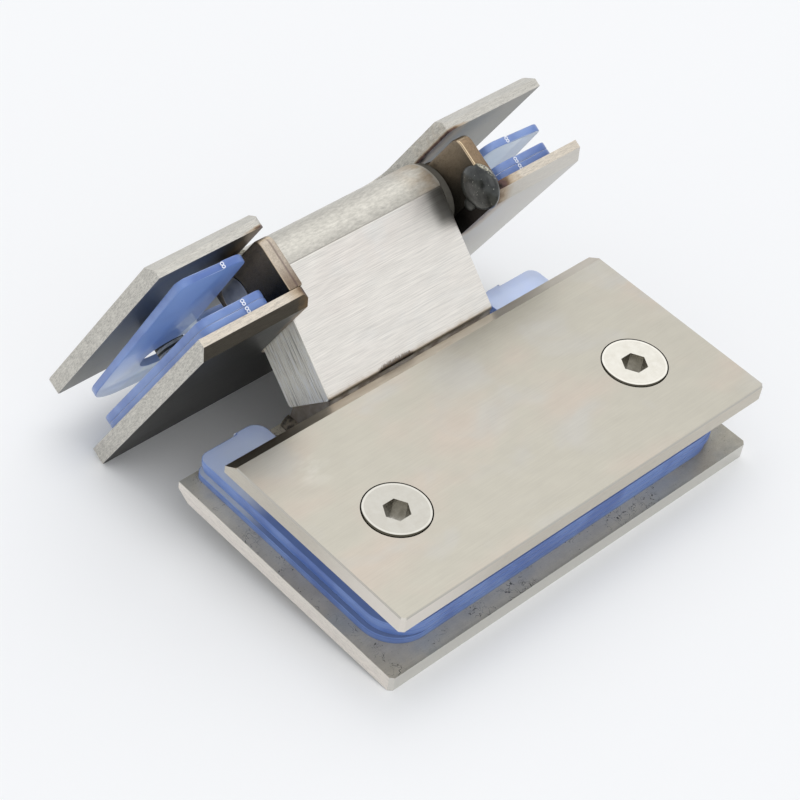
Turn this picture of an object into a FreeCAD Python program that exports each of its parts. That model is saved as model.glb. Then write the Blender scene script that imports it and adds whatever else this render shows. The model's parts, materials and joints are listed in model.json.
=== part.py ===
import FreeCAD, Part
import os
import re
import Sketcher
from FreeCAD import Placement, Rotation, Vector

# A glass to glass door hinge that lies folded like a tent: two clamps, each of two steel
# plates with gaskets between them, joined by a leaning block with a sprung pin in its barrel.
# X runs along the hinge line, +Z is up, and the part rests on two plate edges.

# Driving dimensions in millimetres and degrees: alias, value, meaning
SIZES = [
    ("plate_length", 90.0, "every clamp plate, along the hinge line"),
    ("plate_depth", 55.0, "long plates, free edge to hinge edge"),
    ("cover_setback", 11.0, "cover plate of the fixed clamp, behind the long one's hinge edge"),
    ("plate_thickness", 3.3, "every clamp plate"),
    ("glass_gap", 12.0, "between the two plates of a clamp"),
    ("bevel_width", 2.7, "bevel at a hinge edge, along the plate"),
    ("bevel_drop", 1.7, "bevel at a hinge edge, across the thickness"),
    ("edge_break", 0.25, "small chamfer on outer edges"),
    ("corner_break", 0.7, "chamfer at the two corners of a free edge"),
    ("screw_end_inset", 15.5, "screw axis to the plate's end"),
    ("screw_share", 0.6482, "screw axis to the free edge, of the plate beyond the notch"),
    ("screw_diameter", 5.9, "outside of the thread"),
    ("screw_length", 18.0, "overall, head flush with the plate"),
    ("head_diameter", 12.0, "countersunk head"),
    ("head_rim", 0.15, "straight rim of the head"),
    ("head_angle", 90.0, "cone of the head"),
    ("socket_width", 4.4, "hexagon socket, across flats"),
    ("socket_depth", 2.6, "hexagon socket"),
    ("head_clearance", 0.1, "head to countersink, radial"),
    ("hole_clearance", 0.35, "screw to plain hole, radial"),
    ("thread_clearance", 0.05, "screw to tapped hole, radial"),
    ("tip_clearance", 0.2, "screw tip to the bottom of its hole"),
    ("gasket_end_margin", 3.0, "gasket to the plate's end"),
    ("gasket_free_margin", 3.5, "gasket to the plate's free edge"),
    ("gasket_thickness", 1.5, "one gasket"),
    ("gasket_corner", 7.5, "radius at the free edge"),
    ("gasket_shoulder", 2.0, "radius at the outer hinge corners"),
    ("gasket_tab_corner", 2.8, "radius at the notch"),
    ("gasket_notch_share", 0.2807, "gasket cut back beside the plate's notch"),
    ("gasket_notch_margin", 0.6, "gasket to the floor of the plate's notch"),
    ("gasket_step", 0.4, "outer part of the hinge edge set back"),
    ("gasket_step_share", 0.37, "of a gasket's tab that isn't set back"),
    ("gasket_hole", 11.0, "clears the screw"),
    ("middle_gasket_slip", 0.9, "sideways, fixed clamp"),
    ("top_gasket_slip", 0.45, "sideways, fixed clamp"),
    ("swing_gasket_slip", 0.6, "sideways, swinging clamp"),
    ("swing_gasket_drop", 1.4, "below the hinge edge"),
    ("swing_gasket_turn", 1.1, "in its own plane"),
    ("loose_gasket_slip", 0.3, "sideways"),
    ("loose_gasket_drop", 0.8, "below the hinge edge"),
    ("loose_gasket_turn", 1.0, "in its own plane"),
    ("loose_gasket_lean", 2.18, "free edge leans inwards"),
    ("loose_gasket_twist", 2.64, "right end leans inwards"),
    ("loose_gasket_gap", 3.5, "middle of the hinge edge to the cover plate"),
    ("block_width", 40.5, "block, along the hinge line"),
    ("block_thickness", 13.6, "between the block's two faces"),
    ("barrel_radius", 7.0, "round end about the pin"),
    ("block_reach", 23.1, "pin axis to the block's foot end"),
    ("block_corner", 0.8, "radius at the foot end"),
    ("block_lean", 45.0, "block above the fixed plates"),
    ("foot_setback", 5.6, "block's foot end behind the cover plate"),
    ("foot_height", 8.4, "block's foot end above the inner plate"),
    ("foot_width", 40.0, "wedge, along the hinge line"),
    ("foot_margin", 0.4, "wedge to the inner plate's hinge edge"),
    ("weld_leg", 1.8, "fillet weld at the wedge"),
    ("pin_diameter", 8.0, "pivot pin"),
    ("running_clearance", 0.05, "pin in its bushes, radial"),
    ("fixed_fit_clearance", 0.02, "pin in ears, bushes in block, radial"),
    ("bush_wall", 0.95, "bush"),
    ("bush_length", 6.7, "bush, from the block's side"),
    ("washer_diameter", 13.0, "thrust washer"),
    ("washer_thickness", 1.5, "thrust washer"),
    ("washer_clearance", 0.15, "each side of a washer"),
    ("chamber_width", 26.0, "spring chamber, along the hinge line"),
    ("chamber_depth", 8.0, "spring chamber, across the block"),
    ("follower_clearance", 0.2, "follower in its chamber, each side"),
    ("follower_height", 4.5, "follower without its spigots"),
    ("follower_gap", 0.1, "follower to the round of the pin"),
    ("spigot_diameter", 4.0, "spigot inside a spring"),
    ("spigot_length", 3.0, "spigot inside a spring"),
    ("spring_diameter", 6.6, "coil spring, outside"),
    ("spring_wire", 1.1, "coil spring"),
    ("spring_turns", 5.0, "coil spring"),
    ("spring_chords", 16.0, "straight pieces in one turn of a coil"),
    ("spring_spacing", 15.0, "between the two springs"),
    ("cover_thickness", 3.0, "plug of the chamber"),
    ("cover_lip", 0.5, "plug wider than the chamber, each side"),
    ("cover_clearance", 0.1, "plug in its recess, each side"),
    ("flat_depth", 1.0, "flat on the pin"),
    ("flat_length", 27.0, "flat on the pin"),
    ("swing_lean", 62.0, "swinging clamp below the fixed plates"),
    ("notch_depth", 27.0, "notch in the swinging plates"),
    ("notch_clearance", 1.046, "notch floor to the folded block, along the plate"),
    ("notch_corner", 4.5, "radius inside the notch"),
    ("notch_mouth", 1.0, "chamfer at the notch's mouth"),
    ("ear_thickness", 2.95, "ear, along the hinge line"),
    ("ear_rise", 4.6, "ear beyond the pin axis, towards the cover plate"),
    ("ear_boss", 11.4, "round of the ear about the pin"),
    ("ear_corner", 2.0, "radius at the ear's free corner"),
    ("bead_radius", 3.8, "weld bead on the right ear"),
    ("bead_height", 1.6, "weld bead on the right ear"),
    ("bead_inset", 2.8, "weld bead to the hinge edge"),
    ("bead_level", 5.0, "weld bead above the pin axis"),
]

FULL_TURN = 360
HALF_TURN = 180
HALF_CORNER = 45
HEXAGON = 6
SAME_PLACE = 1e-5

doc = FreeCAD.newDocument("DoorHinge")
sheet = doc.addObject("Spreadsheet::Sheet", "Sizes")
for row, (alias, number, meaning) in enumerate(SIZES, start=1):
    sheet.set(f"A{row}", alias)
    sheet.set(f"B{row}", str(number))
    sheet.set(f"C{row}", meaning)
    sheet.setAlias(f"B{row}", alias)
doc.recompute()
ALIASES = {alias for alias, number, meaning in SIZES}


def from_sheet(formula):
    """The formula with each size written as a cell of the spreadsheet."""
    return re.sub(r"[a-z_]+", lambda word: "Sizes." + word[0] if word[0] in ALIASES else word[0], formula)


def value(formula):
    """The formula's present value."""
    return float(sheet.evalExpression(from_sheet(formula)))


# Sizes that follow from the driving ones
EAR_FACE = "(block_width / 2 + washer_thickness + 2 * washer_clearance)"
FOLD = f"({HALF_TURN} - block_lean - swing_lean)"
BLOCK_IN_NOTCH = f"((glass_gap / 2 + plate_thickness) / tan({FOLD}) + block_thickness / (2 * sin({FOLD})))"
PIVOT_INSET = f"(notch_depth - notch_clearance - {BLOCK_IN_NOTCH})"
COVER_DEPTH = "(plate_depth - cover_setback)"
SCREW_ACROSS = "(plate_length / 2 - screw_end_inset)"
SCREW_INSET = "((plate_depth - notch_depth) * screw_share)"
TAPPED_DEPTH = "(screw_length - plate_thickness - glass_gap + tip_clearance)"
HEAD_CONE = "((head_diameter - screw_diameter) / (2 * tan(head_angle / 2)))"
BUSH_BORE = "(pin_diameter + 2 * running_clearance)"
BUSH_OUTSIDE = "(pin_diameter + 2 * running_clearance + 2 * bush_wall)"
FOLLOWER_SEAT = "(-pin_diameter / 2 - follower_gap - follower_height)"
COVER_TOP = "(cover_thickness - block_reach)"
SPRING_HEIGHT = "(-pin_diameter / 2 - follower_gap - follower_height - cover_thickness + block_reach)"
BLOCK_END_BACK = "(plate_depth - cover_setback + foot_setback)"
FOOT_HALF = "(cover_setback - foot_setback - foot_margin)"
BLOCK_END_UP = "(plate_thickness + foot_height)"
GASKET_HALF = "(plate_length / 2 - gasket_end_margin)"
GASKET_FREE = "(gasket_free_margin - plate_depth)"
GASKET_NOTCH_HALF = f"({EAR_FACE} + ({GASKET_HALF} - {EAR_FACE}) * gasket_notch_share)"
GASKET_STEP_PLACE = f"({GASKET_NOTCH_HALF} + ({GASKET_HALF} - {GASKET_NOTCH_HALF}) * gasket_step_share)"
GASKET_NOTCH_FLOOR = "(-notch_depth - gasket_notch_margin)"
SCREW_FROM_HINGE = f"({SCREW_INSET} - plate_depth)"
BEAD_SPHERE = "((bead_radius ^ 2 + bead_height ^ 2) / (2 * bead_height))"


# Sketches and features

def new_body(label):
    body = doc.addObject("PartDesign::Body", label)
    body.Label = label
    return body


def bind(feature, name, formula):
    feature.setExpression(name, from_sheet(formula))


def new_sketch(body, name, role, offset="0"):
    """A sketch on one of the body's own origin planes, moved along its normal."""
    sketch = body.newObject("Sketcher::SketchObject", f"{body.Name}_{name}")
    plane = next(item for item in body.Origin.OriginFeatures if item.Role == role)
    sketch.AttachmentSupport = [(plane, "")]
    sketch.MapMode = "FlatFace"
    sketch.AttachmentOffset = Placement(Vector(0, 0, value(offset)), Rotation())
    bind(sketch, "AttachmentOffset.Base.z", offset)
    return sketch


def hold_point(sketch, geometry, end, place):
    """Ties one end or centre to the sketch's axes."""
    for kind, formula in zip(("DistanceX", "DistanceY"), place):
        index = sketch.addConstraint(Sketcher.Constraint(kind, -1, 1, geometry, end, value(formula)))
        sketch.setExpression(f"Constraints[{index}]", from_sheet(formula))


def point(place):
    return Vector(value(place[0]), value(place[1]), 0)


def polygon(sketch, corners):
    """A closed outline of straight edges."""
    first = sketch.GeometryCount
    count = len(corners)
    for index, corner in enumerate(corners):
        following = corners[(index + 1) % count]
        sketch.addGeometry(Part.LineSegment(point(corner), point(following)), False)
    for index, corner in enumerate(corners):
        edge = first + index
        next_edge = first + (index + 1) % count
        sketch.addConstraint(Sketcher.Constraint("Coincident", edge, 2, next_edge, 1))
        hold_point(sketch, edge, 1, corner)


def rectangle(sketch, left, right, low, high):
    polygon(sketch, [(left, low), (right, low), (right, high), (left, high)])


def circle(sketch, centre, diameter):
    index = sketch.addGeometry(Part.Circle(point(centre), Vector(0, 0, 1), value(diameter) / 2), False)
    constraint = sketch.addConstraint(Sketcher.Constraint("Diameter", index, value(diameter)))
    sketch.setExpression(f"Constraints[{constraint}]", from_sheet(diameter))
    hold_point(sketch, index, 3, centre)


def arc(sketch, centre, start, through, end):
    """An arc held by its centre and both its ends."""
    index = sketch.addGeometry(Part.Arc(point(start), point(through), point(end)), False)
    begins_at_start = sketch.getPoint(index, 1).isEqual(point(start), SAME_PLACE)
    sketch.addConstraint(Sketcher.Constraint("Coincident", index, 3, -1, 1))
    first, last = (1, 2) if begins_at_start else (2, 1)
    return index, first, last


def obround(sketch, width, depth):
    """A slot about the origin with round ends, along the sketch's own x axis."""
    half = f"(({width} - {depth}) / 2)"
    radius = f"({depth} / 2)"
    ends = []
    for sign in ("", "-"):
        middle = Vector(value(f"{sign}{half}"), 0, 0)
        reach = value(f"{sign}{radius}")
        top = middle + Vector(0, value(radius), 0)
        bottom = middle - Vector(0, value(radius), 0)
        outer = middle + Vector(reach, 0, 0)
        index = sketch.addGeometry(Part.Arc(top, outer, bottom), False)
        hold_point(sketch, index, 3, (f"{sign}{half}", "0"))
        constraint = sketch.addConstraint(Sketcher.Constraint("Radius", index, value(radius)))
        sketch.setExpression(f"Constraints[{constraint}]", from_sheet(radius))
        high = 1 if sketch.getPoint(index, 1).y > 0 else 2
        ends.append((index, high))
    for side in (0, 1):
        corners = []
        for index, high in ends:
            corners.append((index, high if side == 0 else 3 - high))
        a = sketch.getPoint(*corners[0])
        b = sketch.getPoint(*corners[1])
        line = sketch.addGeometry(Part.LineSegment(a, b), False)
        sketch.addConstraint(Sketcher.Constraint("Tangent", corners[0][0], corners[0][1], line, 1))
        sketch.addConstraint(Sketcher.Constraint("Tangent", corners[1][0], corners[1][1], line, 2))


def pad(body, sketch, length, symmetric=False):
    feature = body.newObject("PartDesign::Pad", f"{body.Name}_pad")
    feature.Profile = sketch
    feature.SideType = "Symmetric" if symmetric else "One side"
    bind(feature, "Length", length)
    return feature


def pocket(body, sketch, name, length=None):
    """Cuts both ways from the sketch: through everything, or to a stated length overall."""
    feature = body.newObject("PartDesign::Pocket", f"{body.Name}_{name}")
    feature.Profile = sketch
    feature.SideType = "Symmetric"
    if length is None:
        feature.Type = "ThroughAll"
    else:
        feature.Type = "Length"
        bind(feature, "Length", length)
    return feature


def cut_down(body, sketch, name):
    """Cuts from the sketch through everything on the back side of its plane."""
    feature = body.newObject("PartDesign::Pocket", f"{body.Name}_{name}")
    feature.Profile = sketch
    feature.SideType = "One side"
    feature.Type = "ThroughAll"
    return feature


def close_to(number, formula):
    return abs(number - value(formula)) < SAME_PLACE


def edges_of(feature, test):
    """The names of the straight edges whose ends and middle all pass the test."""
    doc.recompute()
    names = []
    for index, edge in enumerate(feature.Shape.Edges, start=1):
        places = [vertex.Point for vertex in edge.Vertexes] + [edge.CenterOfMass]
        if isinstance(edge.Curve, Part.Line) and all(test(place) for place in places):
            names.append(f"Edge{index}")
    return names


def fillet(body, feature, name, radius, test):
    result = body.newObject("PartDesign::Fillet", f"{body.Name}_{name}")
    result.Base = (feature, edges_of(feature, test))
    bind(result, "Radius", radius)
    return result


def chamfer(body, feature, name, size, test):
    result = body.newObject("PartDesign::Chamfer", f"{body.Name}_{name}")
    result.Base = (feature, edges_of(feature, test))
    bind(result, "Size", size)
    return result


# Clamp plates

def plate(label, free_edge, hinge_edge, inner, outer, side):
    """A plate pressed from its side profile, with a bevel on its outer face at the hinge edge."""
    body = new_body(label)
    profile = new_sketch(body, "profile", "YZ_Plane")
    into = "-" if side == "+" else "+"
    polygon(profile, [
        (free_edge, inner),
        (hinge_edge, inner),
        (hinge_edge, f"{outer} {into} bevel_drop"),
        (f"{hinge_edge} - bevel_width", outer),
        (free_edge, outer),
    ])
    blank = pad(body, profile, "plate_length", symmetric=True)
    body.Tip = chamfer(body, blank, "corner_break", "corner_break", lambda at: (
        close_to(abs(at.x), "plate_length / 2") and close_to(at.y, free_edge)))
    return body


def notch(body):
    """The notch that the block and its barrel turn in."""
    outline = new_sketch(body, "notch", "XY_Plane")
    rectangle(outline, f"-{EAR_FACE}", EAR_FACE, "-notch_depth", "notch_depth")
    pocket(body, outline, "notch_cut")
    floor = fillet(body, body.Tip, "notch_fillet", "notch_corner", lambda at: (
        close_to(abs(at.x), EAR_FACE) and close_to(at.y, "-notch_depth")))
    body.Tip = floor
    mouth = chamfer(body, floor, "notch_mouth", "notch_mouth", lambda at: (
        close_to(abs(at.x), EAR_FACE) and close_to(at.y, "0")))
    body.Tip = mouth


def holes(body, name, level, distance, upward, **options):
    """The two screw holes of a plate, sunk from the given level."""
    places = new_sketch(body, name, "XY_Plane", level)
    for sign in ("-", ""):
        circle(places, (f"{sign}{SCREW_ACROSS}", distance), "screw_diameter")
    doc.recompute()
    feature = body.newObject("PartDesign::Hole", f"{body.Name}_{name}_cut")
    feature.Profile = places
    feature.Reversed = upward
    feature.ThreadType = "None"
    feature.DrillPoint = "Flat"
    for key, setting in options.items():
        setattr(feature, key, setting)
    return feature


def tapped_holes(body, level, distance, upward):
    feature = holes(body, "tapped", level, distance, upward, DepthType="Dimension")
    bind(feature, "Diameter", "screw_diameter + 2 * thread_clearance")
    bind(feature, "Depth", TAPPED_DEPTH)


def countersunk_holes(body, level, distance, upward):
    feature = holes(body, "countersunk", level, distance, upward,
                    DepthType="ThroughAll", HoleCutType="Countersink",
                    HoleCutCustomValues=True)
    bind(feature, "HoleCutCountersinkAngle", "head_angle")
    bind(feature, "Diameter", "screw_diameter + 2 * hole_clearance")
    bind(feature, "HoleCutDiameter", "head_diameter + 2 * (head_clearance + head_rim)")


def break_edges(body, outer, free_edge):
    """A small chamfer round the outer face, except at its hinge edge."""
    side = value("plate_length / 2 - corner_break") - SAME_PLACE
    front = value("corner_break") + SAME_PLACE
    feature = chamfer(body, body.Tip, "edge_break", "edge_break", lambda at: (
        close_to(at.z, outer) and (abs(at.x) > side or abs(at.y - value(free_edge)) < front)))
    body.Tip = feature


fixed_outer = "(2 * plate_thickness + glass_gap)"
fixed_inner_plate = plate("fixed_inner_plate", "0", "plate_depth", "plate_thickness", "0", "-")
tapped_holes(fixed_inner_plate, "plate_thickness", SCREW_INSET, upward=False)
fixed_outer_plate = plate("fixed_outer_plate", "0", COVER_DEPTH,
                          "(plate_thickness + glass_gap)", fixed_outer, "+")
countersunk_holes(fixed_outer_plate, fixed_outer, SCREW_INSET, upward=False)
break_edges(fixed_outer_plate, fixed_outer, "0")

swing_inner = "(glass_gap / 2)"
swing_outer = "(glass_gap / 2 + plate_thickness)"
swing_front_plate = plate("swing_front_plate", "-plate_depth", "0", swing_inner, swing_outer, "+")
notch(swing_front_plate)
tapped_holes(swing_front_plate, swing_inner, SCREW_FROM_HINGE, upward=True)
swing_back_plate = plate("swing_back_plate", "-plate_depth", "0", f"-{swing_inner}", f"-{swing_outer}", "-")
notch(swing_back_plate)
countersunk_holes(swing_back_plate, f"-{swing_outer}", SCREW_FROM_HINGE, upward=True)
break_edges(swing_back_plate, f"-{swing_outer}", "-plate_depth")


# Screws: a turned countersunk head and shank with a hexagon socket, standing on the tip

def screw(label):
    body = new_body(label)
    profile = new_sketch(body, "profile", "XZ_Plane")
    polygon(profile, [
        ("0", "0"),
        ("screw_diameter / 2", "0"),
        ("screw_diameter / 2", f"screw_length - head_rim - {HEAD_CONE}"),
        ("head_diameter / 2", "screw_length - head_rim"),
        ("head_diameter / 2", "screw_length"),
        ("0", "screw_length"),
    ])
    turned = body.newObject("PartDesign::Revolution", f"{label}_turned")
    turned.Profile = profile
    turned.ReferenceAxis = (profile, ["V_Axis"])
    turned.Angle = FULL_TURN
    socket = new_sketch(body, "socket", "XY_Plane", "screw_length - socket_depth")
    reach = f"socket_width / (2 * cos({HALF_TURN // HEXAGON}))"
    angles = [FULL_TURN // HEXAGON * corner for corner in range(HEXAGON)]
    polygon(socket, [(f"{reach} * cos({angle})", f"{reach} * sin({angle})") for angle in angles])
    cut = body.newObject("PartDesign::Pocket", f"{label}_socket")
    cut.Profile = socket
    cut.Type = "ThroughAll"
    cut.Reversed = True
    return body


# Gaskets: a clear sheet with rounded corners, a notch at the hinge edge and two screw holes

def gasket(label):
    body = new_body(label)
    outline = new_sketch(body, "outline", "XY_Plane")
    right = [
        (GASKET_HALF, GASKET_FREE),
        (GASKET_HALF, "-gasket_step"),
        (GASKET_STEP_PLACE, "-gasket_step"),
        (GASKET_STEP_PLACE, "0"),
        (GASKET_NOTCH_HALF, "0"),
        (GASKET_NOTCH_HALF, GASKET_NOTCH_FLOOR),
    ]
    left = [(f"-{across}", along) for across, along in reversed(right)]
    polygon(outline, right + left)
    sheet_pad = pad(body, outline, "gasket_thickness")
    corners = fillet(body, sheet_pad, "free_corners", "gasket_corner", lambda at: (
        close_to(at.y, GASKET_FREE) and close_to(abs(at.x), GASKET_HALF)))
    shoulders = fillet(body, corners, "shoulders", "gasket_shoulder", lambda at: (
        close_to(at.y, "-gasket_step") and close_to(abs(at.x), GASKET_HALF)))
    tabs = fillet(body, shoulders, "tab_corners", "gasket_tab_corner", lambda at: (
        close_to(abs(at.x), GASKET_NOTCH_HALF)
        and (close_to(at.y, "0") or close_to(at.y, GASKET_NOTCH_FLOOR))))
    body.Tip = tabs
    places = new_sketch(body, "holes", "XY_Plane")
    for sign in ("-", ""):
        circle(places, (f"{sign}{SCREW_ACROSS}", SCREW_FROM_HINGE), "gasket_hole")
    pocket(body, places, "holes_cut")
    return body


# Block: one thick bar with a barrel turned at its end, bored for the pin and for the springs

def hinge_block():
    body = new_body("hinge_block")
    profile = new_sketch(body, "profile", "YZ_Plane")
    half = "block_thickness / 2"
    line_height = "sqrt(barrel_radius ^ 2 - (block_thickness / 2) ^ 2)"
    front_foot = (f"-{half}", "-block_reach")
    back_foot = (half, "-block_reach")
    back_line = (half, line_height)
    front_line = (f"-{half}", line_height)
    for start, end in ((front_foot, back_foot), (back_foot, back_line)):
        profile.addGeometry(Part.LineSegment(point(start), point(end)), False)
    barrel, barrel_start, barrel_end = arc(profile, ("0", "0"), back_line, ("0", "barrel_radius"), front_line)
    profile.addGeometry(Part.LineSegment(point(front_line), point(front_foot)), False)
    front = profile.GeometryCount - 1
    profile.addConstraint(Sketcher.Constraint("Coincident", 0, 2, 1, 1))
    profile.addConstraint(Sketcher.Constraint("Coincident", 1, 2, barrel, barrel_start))
    profile.addConstraint(Sketcher.Constraint("Coincident", barrel, barrel_end, front, 1))
    profile.addConstraint(Sketcher.Constraint("Coincident", front, 2, 0, 1))
    profile.addConstraint(Sketcher.Constraint("Vertical", front))
    hold_point(profile, 0, 1, front_foot)
    hold_point(profile, 0, 2, back_foot)
    hold_point(profile, 1, 2, back_line)
    pad(body, profile, "block_width", symmetric=True)
    bore = new_sketch(body, "bore", "YZ_Plane")
    circle(bore, ("0", "0"), f"{BUSH_OUTSIDE} + 2 * fixed_fit_clearance")
    pocket(body, bore, "bore_cut")
    chamber = new_sketch(body, "chamber", "XY_Plane")
    obround(chamber, "chamber_width", "chamber_depth")
    cut_down(body, chamber, "chamber_cut")
    recess = new_sketch(body, "recess", "XY_Plane", COVER_TOP)
    obround(recess, "(chamber_width + 2 * cover_lip)", "(chamber_depth + 2 * cover_lip)")
    cut_down(body, recess, "recess_cut")
    rounded = fillet(body, body.Tip, "foot_corners", "block_corner", lambda at: (
        close_to(at.z, "-block_reach") and close_to(abs(at.y), "block_thickness / 2")))
    body.Tip = rounded
    sides = chamfer(body, rounded, "side_break", "edge_break", lambda at: (
        close_to(abs(at.x), "block_width / 2") and close_to(abs(at.y), "block_thickness / 2")))
    body.Tip = sides
    return body


def block_foot():
    """The wedge between the inner plate and the block's foot end."""
    body = new_body("block_foot")
    profile = new_sketch(body, "profile", "YZ_Plane")
    flat = "(block_thickness / 2 - block_corner)"
    polygon(profile, [
        (f"{BLOCK_END_BACK} - {FOOT_HALF}", "plate_thickness"),
        (f"{BLOCK_END_BACK} + {FOOT_HALF}", "plate_thickness"),
        (f"{BLOCK_END_BACK} + {flat} * sin(block_lean)", f"{BLOCK_END_UP} - {flat} * cos(block_lean)"),
        (f"{BLOCK_END_BACK} - {flat} * sin(block_lean)", f"{BLOCK_END_UP} + {flat} * cos(block_lean)"),
    ])
    pad(body, profile, "foot_width", symmetric=True)
    return body


def foot_weld(label, sign):
    """A convex weld bead in the corner between the wedge and the inner plate."""
    body = new_body(label)
    section = new_sketch(body, "section", "XZ_Plane", f"-({BLOCK_END_BACK} + {FOOT_HALF})")
    corner = (f"{sign}foot_width / 2", "plate_thickness")
    toe = (f"{sign}(foot_width / 2 + weld_leg)", "plate_thickness")
    top = (f"{sign}foot_width / 2", "plate_thickness + weld_leg")
    bulge = (f"{sign}(foot_width / 2 + weld_leg * cos({HALF_CORNER}))",
             f"plate_thickness + weld_leg * sin({HALF_CORNER})")
    section.addGeometry(Part.LineSegment(point(corner), point(toe)), False)
    section.addGeometry(Part.Arc(point(toe), point(bulge), point(top)), False)
    section.addGeometry(Part.LineSegment(point(top), point(corner)), False)
    toe_end = 1 if section.getPoint(1, 1).isEqual(point(toe), SAME_PLACE) else 2
    section.addConstraint(Sketcher.Constraint("Coincident", 0, 2, 1, toe_end))
    section.addConstraint(Sketcher.Constraint("Coincident", 1, 3 - toe_end, 2, 1))
    section.addConstraint(Sketcher.Constraint("Coincident", 2, 2, 0, 1))
    section.addConstraint(Sketcher.Constraint("Coincident", 1, 3, 0, 1))
    hold_point(section, 0, 1, corner)
    hold_point(section, 0, 2, toe)
    section.addConstraint(Sketcher.Constraint("Vertical", 2))
    pad(body, section, f"2 * {FOOT_HALF}")
    return body


def spring_cover():
    body = new_body("spring_cover")
    outline = new_sketch(body, "outline", "XY_Plane", "-block_reach")
    wider = "2 * cover_lip - 2 * cover_clearance"
    obround(outline, f"(chamber_width + {wider})", f"(chamber_depth + {wider})")
    pad(body, outline, "cover_thickness")
    return body


def follower():
    """The sprung bar that bears on the pin, with a spigot inside each spring."""
    body = new_body("follower")
    outline = new_sketch(body, "outline", "XY_Plane", FOLLOWER_SEAT)
    obround(outline, "(chamber_width - 2 * follower_clearance)", "(chamber_depth - 2 * follower_clearance)")
    pad(body, outline, "follower_height")
    spigots = new_sketch(body, "spigots", "XY_Plane", f"{FOLLOWER_SEAT} - spigot_length")
    for sign in ("-", ""):
        circle(spigots, (f"{sign}spring_spacing / 2", "0"), "spigot_diameter")
    pad(body, spigots, "spigot_length")
    return body


def spring(label):
    """A coil spring that stands on the cover and reaches the follower's seat, wound in chords."""
    wire = value("spring_wire") / 2
    around = value("(spring_diameter - spring_wire) / 2")
    chords = int(value("spring_turns * spring_chords"))
    rise = value(f"({SPRING_HEIGHT} - spring_wire) / (spring_turns * spring_chords)")
    bends = []
    for bend in range(chords + 1):
        turned = Rotation(Vector(0, 0, 1), bend * FULL_TURN / value("spring_chords"))
        bends.append(turned.multVec(Vector(around, 0, 0)) + Vector(0, 0, wire + bend * rise))
    along = (bends[1] - bends[0]).normalize()
    side = (Vector(1, 0, 0) - along * along.x).normalize() * wire
    angles = [FULL_TURN // HEXAGON * corner for corner in range(HEXAGON + 1)]
    corners = [bends[0] + Rotation(along, angle).multVec(side) for angle in angles]
    coil = doc.addObject("Part::Feature", label)
    coil.Label = label
    coil.Shape = Part.makePolygon(bends).makePipeShell([Part.makePolygon(corners)], True, True, 1)
    return coil


def ring(label, outside, inside, length):
    """A bush or washer along X, from its own origin plane."""
    body = new_body(label)
    section = new_sketch(body, "section", "YZ_Plane")
    circle(section, ("0", "0"), outside)
    circle(section, ("0", "0"), inside)
    pad(body, section, length)
    return body


# Ears and pin of the swinging clamp, about the pin axis

def ear(label):
    """One ear: a strip welded to the front plate with a boss about the pin."""
    body = new_body(label)
    strip = new_sketch(body, "strip", "YZ_Plane")
    rectangle(strip, "-ear_boss / 2", PIVOT_INSET, "-ear_rise", swing_inner)
    strip_pad = pad(body, strip, "ear_thickness")
    corner = fillet(body, strip_pad, "corner", "ear_corner", lambda at: (
        close_to(at.y, PIVOT_INSET) and close_to(at.z, "-ear_rise")))
    body.Tip = corner
    boss = new_sketch(body, "boss", "YZ_Plane")
    circle(boss, ("0", "0"), "ear_boss")
    pad(body, boss, "ear_thickness")
    hole = new_sketch(body, "hole", "YZ_Plane")
    circle(hole, ("0", "0"), "pin_diameter + 2 * fixed_fit_clearance")
    pocket(body, hole, "hole_cut")
    return body


def pivot_pin():
    body = new_body("pivot_pin")
    section = new_sketch(body, "section", "YZ_Plane")
    circle(section, ("0", "0"), "pin_diameter")
    pad(body, section, f"2 * ({EAR_FACE} + ear_thickness)", symmetric=True)
    flat = new_sketch(body, "flat", "YZ_Plane")
    rectangle(flat, "pin_diameter / 2 - flat_depth", "pin_diameter", "-pin_diameter", "pin_diameter")
    pocket(body, flat, "flat_cut", "flat_length")
    return body


def weld_bead():
    """A cap of a sphere that lies on the inner face of the right ear."""
    body = new_body("weld_bead")
    section = new_sketch(body, "section", "XY_Plane")
    sphere_middle = f"({BEAD_SPHERE} - bead_height)"
    tip = ("-bead_height", "0")
    rim = ("0", "bead_radius")
    angle = f"(asin(bead_radius / {BEAD_SPHERE}) / 2)"
    through = (f"{sphere_middle} - {BEAD_SPHERE} * cos({angle})", f"{BEAD_SPHERE} * sin({angle})")
    section.addGeometry(Part.LineSegment(point(("0", "0")), point(tip)), False)
    section.addGeometry(Part.Arc(point(tip), point(through), point(rim)), False)
    section.addGeometry(Part.LineSegment(point(rim), point(("0", "0"))), False)
    tip_end = 1 if section.getPoint(1, 1).isEqual(point(tip), SAME_PLACE) else 2
    section.addConstraint(Sketcher.Constraint("Coincident", 0, 2, 1, tip_end))
    section.addConstraint(Sketcher.Constraint("Coincident", 1, 3 - tip_end, 2, 1))
    section.addConstraint(Sketcher.Constraint("Coincident", 2, 2, 0, 1))
    hold_point(section, 0, 1, ("0", "0"))
    hold_point(section, 0, 2, tip)
    hold_point(section, 2, 1, rim)
    section.addConstraint(Sketcher.Constraint("PointOnObject", 1, 3, -1))
    turned = body.newObject("PartDesign::Revolution", "weld_bead_turned")
    turned.Profile = section
    turned.ReferenceAxis = (section, ["H_Axis"])
    turned.Angle = FULL_TURN
    return body


# Frames: the row's own, the fixed clamp's, the block's and the swinging clamp's

AXIS = Vector(1, 0, 0)


def turn(degrees):
    return Placement(Vector(), Rotation(AXIS, degrees))


def shift(across, along, up):
    return Placement(Vector(value(across), value(along), value(up)), Rotation())


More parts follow.
